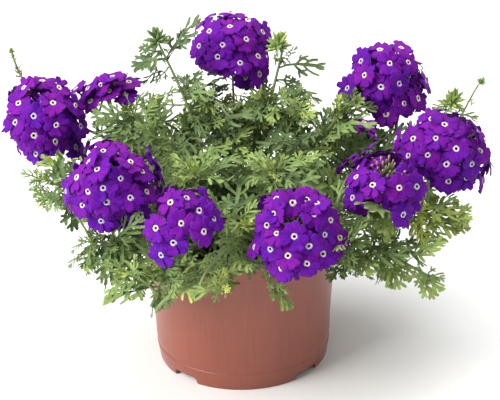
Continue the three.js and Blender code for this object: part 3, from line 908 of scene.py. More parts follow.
def leafy_stem(foliage, draw, line, width, first, last, age, templates, pair_length=PAIR_LENGTH):
    """A stem with its leaves. Pairs stand a node's spacing apart between the shares first and last
    of the stem, each at right angles to the one below, with small leaves in every axil. Leaves are
    smaller, younger and steeper towards the tip."""
    steps = np.linalg.norm(np.diff(line, axis=0), axis=1)
    reach = np.concatenate([[0], np.cumsum(steps)])
    length = reach[-1]
    foliage.add_tube(line, np.interp(reach / length, [0, 1], [width, 0.55 * width]), age)
    along, side, over = line_frames(line)
    nodes = np.arange(first * length, last * length, NODE_SPACING)
    nodes = nodes + draw.normal(0, 2 * MM, len(nodes))
    share = nodes / length

    def at(values):
        return np.stack([np.interp(nodes, reach, values[:, k]) for k in range(3)], -1)

    place, ahead, aside, above = at(line), unit(at(along)), unit(at(side)), unit(at(over))
    turn = np.where(np.arange(len(nodes)) % 2, 90, 0) + draw.normal(20, 18, len(nodes))
    for flip in (0, 180):
        turned = np.radians(turn + flip)[:, None]
        out = aside * np.cos(turned) + above * np.sin(turned)
        lean = np.radians(np.interp(share, [0.3, 0.8, 1], [74, 60, 42]))[:, None]
        lean = lean + draw.normal(0, 0.2, (len(nodes), 1))
        direction = unit(ahead * np.cos(lean) + out * np.sin(lean) + [0, 0, 0.1])
        size = pair_length * np.interp(share, [0.2, 0.5, 0.85, 1], [0.9, 1, 0.88, 0.6])
        size = size * draw.uniform(0.78, 1.15, len(nodes))
        ages = age + 0.22 * np.clip((share - 0.6) / 0.4, 0, 1) + draw.normal(0, 0.09, len(nodes))
        grow_leaves(foliage, draw, place, direction, size, ages, templates)
        lean = np.radians(draw.uniform(20, 60, len(nodes)))[:, None]
        swing = out + draw.normal(0, 0.6, (len(nodes), 3))
        small = unit(ahead * np.cos(lean) + unit(swing) * np.sin(lean))
        small_size = draw.uniform(13, 23, len(nodes)) * MM
        grow_leaves(foliage, draw, place, small, small_size, ages + 0.1, SMALL_LEAVES)


LEAF_TURN = 137.5  # the golden angle, in degrees


def ring_ways(axis, hint, turns, along, out):
    """Directions made of a share along an axis and a share out from it. Each points out at its own
    turn round the axis, counted from the direction square to the axis and the hint."""
    first = unit(np.cross(axis, hint))
    second = np.cross(axis, first)
    outward = first * np.cos(turns)[:, None] + second * np.sin(turns)[:, None]
    return unit(axis * along[:, None] + outward * out[:, None])


def tip_rosette(foliage, draw, place, ahead, age, size=27):
    """The end of a shoot: four open leaves round it and six young ones crowded at its tip, at the
    golden angle from one to the next, the inner ones shorter, steeper and yellower. size is the
    outer leaf's length in millimetres."""
    number = np.arange(10)
    turns = np.radians(LEAF_TURN * number + draw.uniform(0, 360))
    lean = np.radians(np.linspace(72, 6, 10) + draw.normal(0, 7, 10))
    direction = ring_ways(ahead, [0.2, 0.3, 1], turns, np.cos(lean), np.sin(lean))
    length = np.interp(number, [0, 3, 4, 9], [size, 0.85 * size, 0.62 * size, 0.34 * size]) * MM
    length = length * draw.uniform(0.85, 1.1, 10)
    bases = place - ahead * np.linspace(7, 0, 10)[:, None] * MM
    ages = age + np.linspace(-0.05, 0.3, 10) + draw.normal(0, 0.05, 10)
    outer = number < 4
    for mine, templates in ((outer, LARGE_LEAVES), (~outer, YOUNG_LEAVES)):
        grow_leaves(foliage, draw, bases[mine], direction[mine], length[mine], ages[mine], templates)


def spindle(line, tones, sides=6):
    """A turned closed shape up Z from [radius, height] rows, with a map value for each row."""
    line = np.asarray(line, dtype=float)
    ring = np.linspace(0, FULL_TURN, sides, endpoint=False)
    grid = turned_grid(line[:, :1], line[:, 1:], ring)
    points, faces = capped_turn(grid, [0, 0, line[0, 1] - 0.1], [0, 0, line[-1, 1] + 0.1])
    values = np.concatenate([np.repeat(tones, sides), [tones[0], tones[-1]]])
    return points, faces[0], np.concatenate(faces[1:]), np.stack([values, np.ones(len(points))], -1)


def placed(shape, places, ways, twists, scales, shades):
    """Copies of a shape given in millimetres: one at each place, its Z along the way, turned about
    it by twist. A map's second value is multiplied by the copy's shade. Returns one joined shape."""
    points, quads, triangles, values = shape
    first = unit(np.cross(ways, [0.31, 0.17, 0.93]))
    second = np.cross(ways, first)
    cos, sin = np.cos(twists)[:, None], np.sin(twists)[:, None]
    across = first * cos + second * sin
    other = second * cos - first * sin
    x, y, z = (axis[:, None] for axis in (across, other, ways))
    scaled = points[None] * scales[:, None, None] * MM
    spread = places[:, None] + scaled[..., :1] * x + scaled[..., 1:2] * y + scaled[..., 2:] * z
    if values.ndim == 1:
        values = np.stack([values, np.ones(len(points))], -1)
    points, quads, triangles, many = repeated(spread, quads, triangles, values)
    many[:, 1] *= np.repeat(shades, len(shape[0]))
    return points, quads, triangles, many


SPIKE_LENGTH = 9
SPIKE = spindle([[0.5, 0], [0.95, 3], [1.0, 6.5], [0.3, SPIKE_LENGTH]], [0.3, 0.6, 0.4, 0.6], 5)


def bud_tuft(foliage, draw, place, ahead, age, size):
    """A shut flower head: pointed green calyces crowded in a ball, the inner ones upright and the
    outer ones spread, with two short leaves under them unless it is a small one. size multiplies
    their length of 9 mm."""
    count = 38
    turns = np.radians(LEAF_TURN * np.arange(count))
    lean = np.radians(np.linspace(4, 104, count) + draw.normal(0, 7, count))
    hint = [0.2, 0.3, 1]
    ways = ring_ways(ahead, hint, turns, np.cos(lean), np.sin(lean))
    places = place - ahead * (np.linspace(0, 3, count)[:, None] * MM) * size
    twists = draw.uniform(0, 6, count)
    scales = size * draw.uniform(0.75, 1.1, count)
    points, quads, triangles, values = placed(SPIKE, places, ways, twists, scales, np.ones(count))
    ages = np.repeat(age + draw.normal(0, 0.08, count), len(SPIKE[0]))
    ages = ages + 0.25 * np.tile(SPIKE[0][:, 2] / SPIKE_LENGTH, count)
    foliage.add(points, quads, triangles, values[:, 0], ages, LEAF_MATERIAL)
    if size < 0.6:
        return
    turn = draw.uniform(0, math.pi)
    sides = ring_ways(ahead, hint, np.array([turn, turn + math.pi]), np.zeros(2), np.ones(2))
    direction = unit(sides + 0.35 * ahead + [0, 0, 0.1])
    bases = np.array([place - ahead * 12 * MM] * 2)
    grow_leaves(foliage, draw, bases, direction, np.array([26, 23]) * MM, np.full(2, age), LARGE_LEAVES)


# Side shoots, as the place of the tip in millimetres and its age: most fill the front and middle
# of the plant, and the last ones its back.
# The shoots just behind the middle of the mound have ages raised past their own, which paints their leaves
# lighter: painted fill light in the shade there.
SIDE_SHOOTS = [
    (-28, -45, 156, 0.45), (-45, -15, 160, 0.4), (1, -5, 155, 0.5), (20, -46, 155, 0.45),
    (40, -26, 151, 0.45), (-16, -72, 146, 0.35), (54, -5, 153, 0.4), (8, 36, 165, 0.55),
    (-9, 27, 172, 0.55), (58, -78, 139, 0.3), (6, -92, 141, 0.55), (66, -94, 130, 0.35),
    (22, 22, 168, 0.5), (46, 22, 166, 0.5), (70, 10, 160, 0.4), (-36, 10, 168, 0.35),
    (-60, 10, 168, 0.35), (-124, -6, 148, 0.6), (-32, 12, 196, 0.45), (68, 16, 177, 0.45),
    (79, 10, 183, 0.38), (125, -38, 144, 0.6), (-113, -29, 126, 0.3), (-71, -91, 108, 0.5),
    (-11, -112, 104, 0.75), (-86, -50, 98, 0.45), (-97, -50, 88, 0.45), (-76, -70, 98, 0.55),
    (105, -50, 94, 0.5), (94, -60, 112, 0.5), (80, 18, 152, 0.35), (66, 24, 158, 0.3),
    (-14, 15, 164, 0.35), (-52, -85, 109, 0.4), (-38, -89, 104, 0.5), (-24, -85, 110, 0.45),
    (-11, -92, 104, 0.55), (4, -86, 112, 0.4), (67, -86, 110, 0.35), (-17, 20, 185, 0.45),
    (0, 24, 174, 0.8), (17, 22, 180, 0.5), (37, 22, 178, 0.45), (42, 18, 174, 0.65),
    (-23, 8, 180, 0.35), (43, 10, 173, 0.35), (10, 42, 180, 0.4), (-96, -60, 119, 0.3),
    (-83, -70, 119, 0.25), (-74, -66, 121, 0.2), (118, -46, 125, 0.7), (-40, 78, 126, 0.35),
    (40, 80, 124, 0.4), (-5, 72, 138, 0.3), (-100, 60, 118, 0.35), (105, 62, 118, 0.4),
    (62, 66, 134, 0.3), (-62, 62, 136, 0.35), (20, 100, 108, 0.45), (-20, 100, 106, 0.45),
]  # fmt: skip


def side_shoot(stems, draw, tip, age):
    """A thin side shoot to a tip, from the nearest point of any leafy shoot that is lower than the
    tip: it leaves along a curve of the second degree that first climbs, and carries leaf pairs and
    a rosette. It becomes part of the shoot it grows from. Returns its foliage and line."""
    best = None
    for foliage, line in stems:
        inner = line[5:-2]
        apart = np.linalg.norm(inner - tip, axis=1) + np.where(inner[:, 2] < tip[2] - 6 * MM, 0, 0.2)
        spot = int(apart.argmin())
        if best is None or apart[spot] < best[0]:
            best = (apart[spot], foliage, inner[spot])
    _, foliage, start = best
    share = np.linspace(0, 1, 9)[:, None]
    over = (start + tip) / 2 + [0, 0, 0.18 * np.linalg.norm(tip - start)]
    curve = (1 - share) ** 2 * start + 2 * share * (1 - share) * over + share**2 * tip
    young = age > 0.7
    templates = FINE_LEAVES if age < 0.42 else LARGE_LEAVES
    pair_length = 20 * MM if young else PAIR_LENGTH * (0.75 if tip[2] > 170 * MM else 1)
    leafy_stem(foliage, draw, curve, 1.5 * MM, 0.3, 0.9, age - 0.08, templates, pair_length)
    rosette = 16 if young or tip[2] > 180 * MM else 24
    tip_rosette(foliage, draw, tip, unit(curve[-1] - curve[-3]), age, rosette)
    return foliage, curve


# The long leaves that give the plant its outline: roughly where each leaves its stem and where its
# tip lies, both as three numbers in millimetres, then its age and its kind.
# The leaves at the lower right have ages raised past their own, which paints those shaded leaves lighter:
# painted fill light.
LONG_LEAVES = [
    (-47, 14, 214, -70, 5, 212, 0.08, BROAD), (-47, 14, 216, -65, 20, 220, 0.1, BROAD),
    (-45, 13, 210, -64, 10, 198, 0.02, SLENDER), (-44, 13, 212, -23, 15, 244, 0.08, SLENDER),
    (-46, 14, 213, -31, 22, 232, 0.02, BROAD), (-43, 12, 206, -33, 3, 200, 0.18, BROAD),
    (-43, 12, 208, -54, 8, 198, 0.06, SLENDER), (-37, 11, 192, -53, 8, 189, 0.08, SLENDER),
    (-37, 11, 194, -22, 18, 203, 0.04, BROAD), (-35, 10, 187, -10, 20, 197, 0.04, BROAD),
    (-34, 9, 183, -59, 14, 178, 0.24, SLENDER), (29, 33, 199, 60, 28, 198, 0.13, SLENDER),
    (30, 34, 202, 42, 36, 212, 0.16, SLENDER), (27, 31, 188, 44, 30, 187, 0.04, BROAD),
    (27, 31, 188, 58, 26, 175, 0.22, SLENDER), (23, 27, 178, 6, 20, 178, 0.2, BROAD),
    (23, 27, 180, 48, 24, 179, 0.25, SLENDER), (21, 25, 172, 44, 18, 173, 0.45, SLENDER),
    (-3, 63, 176, -22, 56, 188, 0.04, BROAD), (-3, 63, 175, 17, 55, 176, 0.12, BROAD),
    (-3, 61, 171, -17, 52, 178, 0.16, BROAD), (-2, 59, 167, 12, 52, 167, 0.2, SLENDER),
    (-69, 21, 170, -99, 24, 174, 0.22, SLENDER), (-66, 20, 167, -98, 14, 167, 0.24, SLENDER),
    (-70, 21, 172, -76, 24, 187, 0.26, BROAD), (-70, 21, 173, -59, 20, 187, 0.06, SLENDER),
    (-68, 20, 169, -46, 10, 178, 0.42, SLENDER), (-60, 18, 159, -90, 8, 159, 0.3, SLENDER),
    (145, 34, 165, 132, 28, 168, 0.48, SLENDER), (147, 34, 168, 145, 34, 176, 0.48, SLENDER),
    (143, 33, 162, 165, 28, 160, 0.31, SLENDER), (-125, -16, 139, -128, -26, 121, 0.38, BROAD),
    (-127, -17, 141, -141, -20, 135, 0.38, BROAD), (-127, -17, 141, -146, -15, 146, 0.32, SLENDER),
    (-120, -15, 136, -121, -26, 125, 0.3, BROAD), (-116, -15, 134, -114, -24, 118, 0.16, BROAD),
    (-112, -14, 133, -113, -25, 106, 0.14, BROAD), (-98, -50, 106, -114, -58, 97, 0.24, SLENDER),
    (-96, -50, 107, -105, -62, 97, 0.2, SLENDER), (-94, -48, 107, -98, -60, 96, 0.18, SLENDER),
    (-90, -45, 106, -108, -45, 110, 0.3, SLENDER), (-71, -91, 110, -86, -98, 91, 0.46, BROAD),
    (-69, -91, 110, -73, -98, 92, 0.22, BROAD), (-71, -91, 110, -89, -84, 114, 0.42, BROAD),
    (-65, -88, 106, -62, -95, 93, 0.3, BROAD), (-67, -88, 109, -58, -78, 115, 0.4, BROAD),
    (131, -50, 120, 152, -52, 131, 0.58, BROAD), (134, -51, 120, 151, -58, 118, 0.58, BROAD),
    (117, -44, 120, 133, -52, 113, 0.64, SLENDER), (82, -53, 105, 118, -48, 103, 0.5, SLENDER),
    (117, -44, 120, 137, -50, 104, 0.52, SLENDER), (116, -72, 95, 132, -84, 87, 0.62, BROAD),
    (114, -72, 96, 125, -86, 81, 0.62, BROAD), (116, -72, 95, 133, -74, 90, 0.58, SLENDER),
    (101, -64, 101, 98, -80, 86, 0.64, BROAD), (103, -64, 99, 109, -76, 90, 0.62, BROAD),
    (99, -62, 101, 93, -76, 90, 0.64, BROAD), (90, -57, 103, 87, -64, 98, 0.41, BROAD),
    (71, -78, 103, 54, -88, 99, 0.26, BROAD), (72, -79, 102, 64, -88, 99, 0.28, BROAD),
    (75, -81, 102, 74, -92, 102, 0.3, BROAD), (77, -83, 100, 86, -86, 97, 0.32, BROAD),
    (17, -95, 102, 33, -104, 87, 0.45, BROAD), (17, -94, 103, 27, -100, 95, 0.25, SLENDER),
    (-54, -93, 94, -58, -100, 80, 0.24, SLENDER), (-52, -90, 97, -47, -97, 85, 0.3, SLENDER),
    (-50, -86, 99, -53, -97, 83, 0.3, BROAD), (-3, 63, 173, -27, 52, 189, 0.04, BROAD),
    (-3, 63, 172, 19, 56, 183, 0.12, BROAD), (23, 27, 183, 10, 25, 193, 0.04, BROAD),
    (23, 27, 177, 44, 25, 185, 0.3, BROAD), (23, 26, 174, 57, 18, 169, 0.35, SLENDER),
    (2, 24, 174, 17, 20, 171, 0.4, BROAD), (-17, 20, 184, -32, 14, 184, 0.3, BROAD),
    (-17, 20, 184, -6, 22, 190, 0.04, BROAD), (37, 22, 177, 51, 22, 184, 0.24, BROAD),
    (57, 16, 175, 73, 10, 174, 0.4, BROAD), (117, -46, 124, 151, -52, 120, 0.74, BROAD),
    (117, -46, 124, 145, -56, 115, 0.72, BROAD), (117, -46, 125, 143, -44, 135, 0.56, SLENDER),
    (99, -80, 139, 73, -98, 138, 0.58, BROAD), (100, -80, 138, 83, -100, 152, 0.56, BROAD),
    (-96, -60, 118, -111, -62, 110, 0.3, SLENDER), (-83, -70, 118, -71, -66, 126, 0.15, BROAD),
    (-94, -60, 119, -102, -60, 128, 0.4, SLENDER), (102, -82, 140, 91, -98, 134, 0.62, BROAD),
    (-33, 12, 195, -44, 12, 201, 0.31, BROAD), (42, 18, 171, 33, 20, 179, 0.45, BROAD),
    (42, 18, 171, 48, 16, 181, 0.5, BROAD),
]  # fmt: skip


def nearest_spot(stems, place):
    """The point of any stem that is nearest to a place, and that stem's foliage."""
    spots = [line[np.linalg.norm(line - place, axis=1).argmin()] for _, line in stems]
    nearest = int(np.linalg.norm(np.array(spots) - place, axis=1).argmin())
    return spots[nearest], stems[nearest][0]


def long_leaf(stems, draw, near, tip, age, templates):
    """One leaf from the point of any stem that is nearest to a place, to its own tip. The leaf is
    bent, so the way it sets out is turned as often as needed by as much as its end is off, then its
    length is made right."""
    base, foliage = nearest_spot(stems, near)
    reach = tip - base
    points, quads, triangles, place_across = templates[draw.integers(0, len(templates))]
    end = points[points[:, 1].argmax()]
    light = TO_LIGHT + draw.normal(0, 0.4, 3)
    ahead = unit(reach)
    for _ in range(3):
        side = unit(np.cross(ahead, light))
        frame = np.stack([side, ahead, np.cross(side, ahead)])
        ahead = unit(ahead + unit(reach) - unit(end @ frame))
    scaled = points @ frame * (np.linalg.norm(reach) / np.linalg.norm(end))
    ages = age + LEAF_AGEING * points[:, 1]
    foliage.add(base + scaled, quads, triangles, place_across, ages, LEAF_MATERIAL)


def piece_map(tree):
    """The two values of a piece's own map."""
    own = add_node(tree, "ShaderNodeUVMap", {}, uv_map="map").outputs["UV"]
    parts = add_node(tree, "ShaderNodeSeparateXYZ", {"Vector": own}).outputs
    return parts["X"], parts["Y"]


leaf_green, tree, shader = new_material("downy_leaf", 0.6)
leaf_across, leaf_age = piece_map(tree)
leaf_colours = [
    (0.0, (0.036, 0.066, 0.023)),
    (0.3, (0.096, 0.156, 0.046)),
    (0.5, (0.152, 0.232, 0.06)),
    (0.75, (0.25, 0.34, 0.08)),
    (1.0, (0.36, 0.42, 0.06)),
]
leaf_tone, leaf_height = drifted(tree, object_place(tree), 230, 0.72, 1.28)
leaf_fold = math_node(tree, "ABSOLUTE", math_node(tree, "SUBTRACT", leaf_across, 0.5))
leaf_vein = smooth_range(tree, leaf_fold, (0.05, 0.16), (1.3, 1.0))
leaf_toned = times(tree, ramp_of(tree, leaf_age, leaf_colours), leaf_tone)
tree.links.new(times(tree, leaf_toned, leaf_vein), shader.inputs["Base Color"])
shader.inputs["Sheen Weight"].default_value = 0.12
shader.inputs["Sheen Roughness"].default_value = 0.5
shader.inputs["Specular IOR Level"].default_value = 0.35
leaf_relief = math_node(tree, "ADD", math_node(tree, "MULTIPLY", leaf_height, 0.5), leaf_fold)
bumped(tree, shader, leaf_relief, 0.5, 0.0008)

stem_green, tree, shader = new_material("downy_stem", 0.6)
stem_tone, _ = drifted(tree, object_place(tree), 180, 0.75, 1.2)
stem_colour = times(tree, flat_colour(tree, (0.17, 0.24, 0.075)), stem_tone)
tree.links.new(stem_colour, shader.inputs["Base Color"])
shader.inputs["Sheen Weight"].default_value = 0.2


def dress(foliage, name, node):
    """Makes a plant's foliage one mesh that stands for its frame node."""
    piece = filled_mesh(
        name,
        np.concatenate(foliage.points),
        [np.concatenate(foliage.quads), np.concatenate(foliage.triangles)],
        [leaf_green, stem_green],
        uv=np.concatenate(foliage.uv),
        face_material=np.concatenate(foliage.kinds[0] + foliage.kinds[1]),
        crease=50,
    )
    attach(piece, "root")
    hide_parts(node)


flower_stems = []
for number, head in enumerate(HEADS, 1):
    draw = np.random.default_rng(100 + number)
    axis = unit(np.array(head["faces"], dtype=float))
    end = np.array(head["at"]) * MM - axis * (CORE_SHARE * head["radius"] * MM + STEM_GAP)
    line = stem_line(head["root"], head["rise"] * MM, end, axis, 42 * MM, 28)
    foliage = Foliage()
    leafy_stem(foliage, draw, line, 2.4 * MM, 0.2, head.get("leafy", 0.78), 0.26, FINE_LEAVES)
    flower_stems.append((foliage, line))

leafy_stems = []
for number, shoot in enumerate(SHOOTS, 1):
    draw = np.random.default_rng(200 + number)
    tip = np.array(shoot["tip"]) * MM
    away = unit((tip - root_place(shoot["root"])) * [1, 1, 0])
    steep = math.radians(shoot["steep"])
    direction = away * math.cos(steep) + np.array([0, 0, math.sin(steep)])
    line = stem_line(shoot["root"], shoot["rise"] * MM, tip, direction, 40 * MM, 24)
    foliage = Foliage()
    upright = shoot["steep"] > 40
    line = line[: shoot.get("shown", len(line))]
    age = shoot.get("age", 0.3 if upright else 0.36)
    templates = FINE_LEAVES if upright else LARGE_LEAVES
    leafy_stem(foliage, draw, line, 2.1 * MM, 0.22, shoot.get("leafy", 0.93), age, templates)
    if "buds" in shoot:
        stalk = line[-1] + np.linspace([0, 0, 0], [-2, 0, shoot["crown"]], 3) * MM
        foliage.add_tube(stalk, np.full(3, 1.3 * MM), shoot["buds"])
        bud_tuft(foliage, draw, stalk[-1], unit(direction + [0, 0, 0.5]), shoot["buds"], 1.05)
    else:
        tip_rosette(foliage, draw, line[-1], direction, 0.48, shoot.get("rosette", 27))
    leafy_stems.append((foliage, line))

draw = np.random.default_rng(400)
side_stems = [side_shoot(leafy_stems, draw, np.array(tip) * MM, age) for *tip, age in SIDE_SHOOTS]
every_stem = flower_stems + leafy_stems + side_stems
for *places, age, templates in LONG_LEAVES:
    near, tip = np.reshape(places, (2, 3)) * MM
    long_leaf(every_stem, draw, near, tip, age, templates)


def bent_line(stems, corners):
    """A smooth line from the point of a stem nearest to the first of four corners, with them as its
    controls. Returns that stem's foliage as well."""
    near, *others = np.array(corners) * MM
    start, foliage = nearest_spot(stems, near)
    return cubic_curve(start, *others, 12), foliage


# Two faded flower stalks stand above the leaves: the corners of each line and its size.
for corners, size in (
    ([(134, -5, 142), (152, 30, 152), (155, 12, 181), (163, 9, 194)], 0.4),
    ([(-140, 50, 178), (-149, 62, 180), (-153, 63, 191), (-155, 64, 203)], 0.3),
):
    stalk, foliage = bent_line(every_stem, corners)
    foliage.add_tube(stalk, np.linspace(1.6, 0.9, 12) * MM, 0.3)
    ahead = unit(stalk[-1] - stalk[-2])
    bud_tuft(foliage, draw, stalk[-1], ahead, 0.35, size)
    ways = unit(ahead + draw.normal(0, 0.45, (5, 3)))
    sizes = np.array([14, 12, 12, 9, 7]) * MM
    grow_leaves(foliage, draw, stalk[[3, 5, 6, 8, 9]], ways, sizes, np.full(5, 0.4), SMALL_LEAVES)

# Two pale stems trail over the pot's front.
for corners in (
    [(6, -78, 124), (-9, -92, 121), (-23, -104, 121), (-27, -108, 104)],
    [(-25, -104, 105), (-40, -108, 105), (-50, -106, 98), (-55, -102, 86)],
):
    trail, foliage = bent_line(every_stem, corners)
    foliage.add_tube(trail, np.linspace(2.2, 1.4, 12) * MM, 0.5)
    every_stem.append((foliage, trail))

for number, (foliage, _) in enumerate(flower_stems, 1):
    dress(foliage, f"flowering_stem_{number}", f"flower_stem_{number}")
for number, (foliage, _) in enumerate(leafy_stems, 1):
    dress(foliage, f"leafy_stem_{number}", f"leafy_shoot_{number}")

# ------------------------------------------------------------------------------ flower heads
# A head is a short spike whose florets open into a dome. Each floret has a slim tube out of a green
# calyx, five broad notched petals of velvety violet, and a white eye round its dark throat.


def closed_lens(grid, thickness):
    """A grid of points as the top of a closed thin shell: the underside repeats the inner points a
    thickness lower and shares the border."""
    rows, columns = grid.shape[:2]
    top = np.arange(rows * columns).reshape(rows, columns)
    under = top.copy()
    under[1:-1, 1:-1] = rows * columns + np.arange((rows - 2) * (columns - 2)).reshape(rows - 2, columns - 2)
    lower = grid[1:-1, 1:-1] - [0, 0, thickness]
    sides = [
        [top[:-1, :-1], top[1:, :-1], top[1:, 1:], top[:-1, 1:]],
        [under[:-1, :-1], under[:-1, 1:], under[1:, 1:], under[1:, :-1]],
    ]
    quads = np.concatenate([np.stack(side, -1).reshape(-1, 4) for side in sides])
    return np.concatenate([grid.reshape(-1, 3), lower.reshape(-1, 3)]), quads


PETAL_REACH = 9.7
PETAL_HALF_WIDTH = 4.9


def petal(draw):
    """One petal in millimetres, along X from the floret's middle. Its width swells as a sine to
    four fifths of the way, its end is uneven and cut back at both corners and by a notch in the
    middle, and its face is cupped, rolled to one side, waved and turned back at the end."""
    share = np.array([0, 0.28, 0.56, 0.82, 1])[:, None]
    across = np.array([-1, -0.78, -0.36, 0, 0.36, 0.78, 1])[None, :]
    notch = draw.uniform(0.1, 0.24)
    end = 1 - notch * np.exp(-((across / 0.2) ** 2)) - 0.22 * np.abs(across) ** 3.6
    end = end + draw.normal(0, 0.035, 7)
    reach = PETAL_REACH * draw.uniform(0.9, 1.06)
    x = 1.1 + (reach - 1.1) * share * (1 - share**1.5 * (1 - end))
    swell = 0.32 + 0.68 * np.sin(np.minimum(share / 0.82, 1) * math.pi / 2)
    half = PETAL_HALF_WIDTH * draw.uniform(0.9, 1.08) * swell
    y = across * half + draw.normal(0, 0.5) * share**2
    cup = draw.uniform(-1.1, 0.6)
    back = draw.uniform(-0.6, 2.6)
    wave = draw.uniform(0.25, 0.55) * np.sin(across * draw.uniform(3, 6) + draw.uniform(0, 6.3))
    crease = -0.4 * np.exp(-((across / 0.25) ** 2)) * share
    roll = draw.uniform(0.05, 0.24)
    z = 0.3 * share + cup * across**2 * share + roll * y * share + wave * share**2
    z = z + crease - back * share**2.5
    return np.stack(np.broadcast_arrays(x, y, z), -1)


def turned_by(points, turn):
    """Points turned about Z by an angle."""
    cos, sin = math.cos(turn), math.sin(turn)
    return points @ np.array([[cos, sin, 0], [-sin, cos, 0], [0, 0, 1]])


# The corolla tube from its foot up and over the pale rim into the throat: radius and height in
# millimetres, and the place in the petals' colour ramp.
THROAT_SIDES = 8
THROAT = np.array(
    [
        [0.7, -12, 1.5],
        [0.75, -5, 1.4],
        [1.0, -2.4, 1.2],
        [1.85, -0.35, 0.18],
        [1.7, 0.2, 0.17],
        [1.35, 0.34, 0.13],
        [1.05, 0.1, 0.09],
        [0.9, -0.6, 0.04],
        [0.75, -1.4, 0.0],
    ]
)


def floret(seed):
    """Five petals and the corolla tube, in millimetres, facing up Z with the eye at the origin.
    The tube is one turned surface: the dark throat, the pale rim that stands a little above the
    petals, and the slim tube underneath. Returns points, quads, triangles and map: the distance
    from the middle (above 1.1 on the tube), and a tone that streaks the petals lengthways and is
    lower along their edges, a painted shade where they overlap."""
    draw = np.random.default_rng(seed)
    parts = []
    for number in range(5):
        sheet = petal(draw)
        shell, quads = closed_lens(sheet, 0.3)
        turn = math.radians(72 * number + draw.normal(0, 5))
        distance = np.hypot(shell[:, 0], shell[:, 1]) / 10 * draw.uniform(0.9, 1.14)
        streak = 1 + 0.13 * np.cos(20 * np.arctan2(shell[:, 1], shell[:, 0])) * np.clip(distance * 2, 0, 1)
        # Each petal's border is painted darker: painted shade where the petals overlap.
        rim = np.zeros(sheet.shape[:2])
        rim[:, [0, -1]] = 1
        rim[-1] = 1
        rim = np.append(rim, np.zeros(len(shell) - rim.size))
        shade = draw.uniform(0.88, 1.12) * streak * (1 - 0.13 * rim)
        shade[distance < 0.27] = 1
        lifted = shell + shell[:, :1] * [0, 0, draw.normal(0, 0.1)]
        tones = np.stack([distance, shade], -1)
        parts.append((turned_by(lifted, turn), quads, np.zeros((0, 3), dtype=int), tones))
    ring = np.linspace(0, FULL_TURN, THROAT_SIDES, endpoint=False)
    grid = turned_grid(THROAT[:, :1], THROAT[:, 1:2], ring)
    tube, faces = capped_turn(grid, [0, 0, THROAT[0, 1]], [0, 0, -1.5])
    distance = np.concatenate([np.repeat(THROAT[:, 2], THROAT_SIDES), [THROAT[0, 2], 0.0]])
    tones = np.stack([distance, np.ones(len(tube))], -1)
    parts.append((tube, faces[0], np.concatenate(faces[1:]), tones))
    return joined(parts)


FLORETS = [floret(seed) for seed in range(10)]


# A closed floret on its calyx, and the bare tube a fallen floret leaves.
BUD = spindle(
    [[0.5, -8], [0.65, -2.5], [1.4, -0.9], [1.75, 0.3], [1.3, 1.3], [0.45, 1.8]],
    [1.5, 1.3, 0.6, 0.7, 0.8, 0.8],
)
SPENT_TUBE = spindle([[0.45, -8], [0.6, -3], [0.55, 0], [0.85, 2.2], [0.5, 3.2]], [1.55, 1.5, 1.45, 1.5, 1.4])


def calyx(length):
    """A ribbed green tube in millimetres, up Z from the origin, with five teeth at its mouth. Its
    section has ten corners, every second one drawn in, and its last row every second one raised."""
    odd = np.arange(10) % 2 == 1
    radii = np.array([0.5, 0.85, 1.0, 1.0, 1.15])[:, None] * np.where(odd, 0.8, 1)
    heights = np.outer([0, 0.25, 0.6, 0.92, 1.0], np.full(10, length))
    heights[-1] += np.where(odd, 0, 1.7)
    ring = np.linspace(0, FULL_TURN, 10, endpoint=False)
    points, faces = capped_turn(turned_grid(radii, heights, ring), [0, 0, 0], [0, 0, 0.8 * length])
    values = np.concatenate([np.tile(np.where(odd, 0.2, 0.5), 5), [0.5, 0.2]])
    return points, faces[0], np.concatenate(faces[1:]), values


CALYX_LENGTH = 8.2
CALYX = calyx(CALYX_LENGTH)
FLORET_TURN = 137.508  # the golden angle, in degrees


def spiral_ways(axis, count, cap):
    """Directions from a head's middle on a golden-angle spiral, evenly from its axis down to the
    angle cap."""
    number = np.arange(count)
    height = 1 - (1 - math.cos(math.radians(cap))) * (number + 0.5) / count
    turns = np.radians(FLORET_TURN * number)
    return ring_ways(axis, [0.31, 0.93, 0.17], turns, height, np.sqrt(1 - height**2))


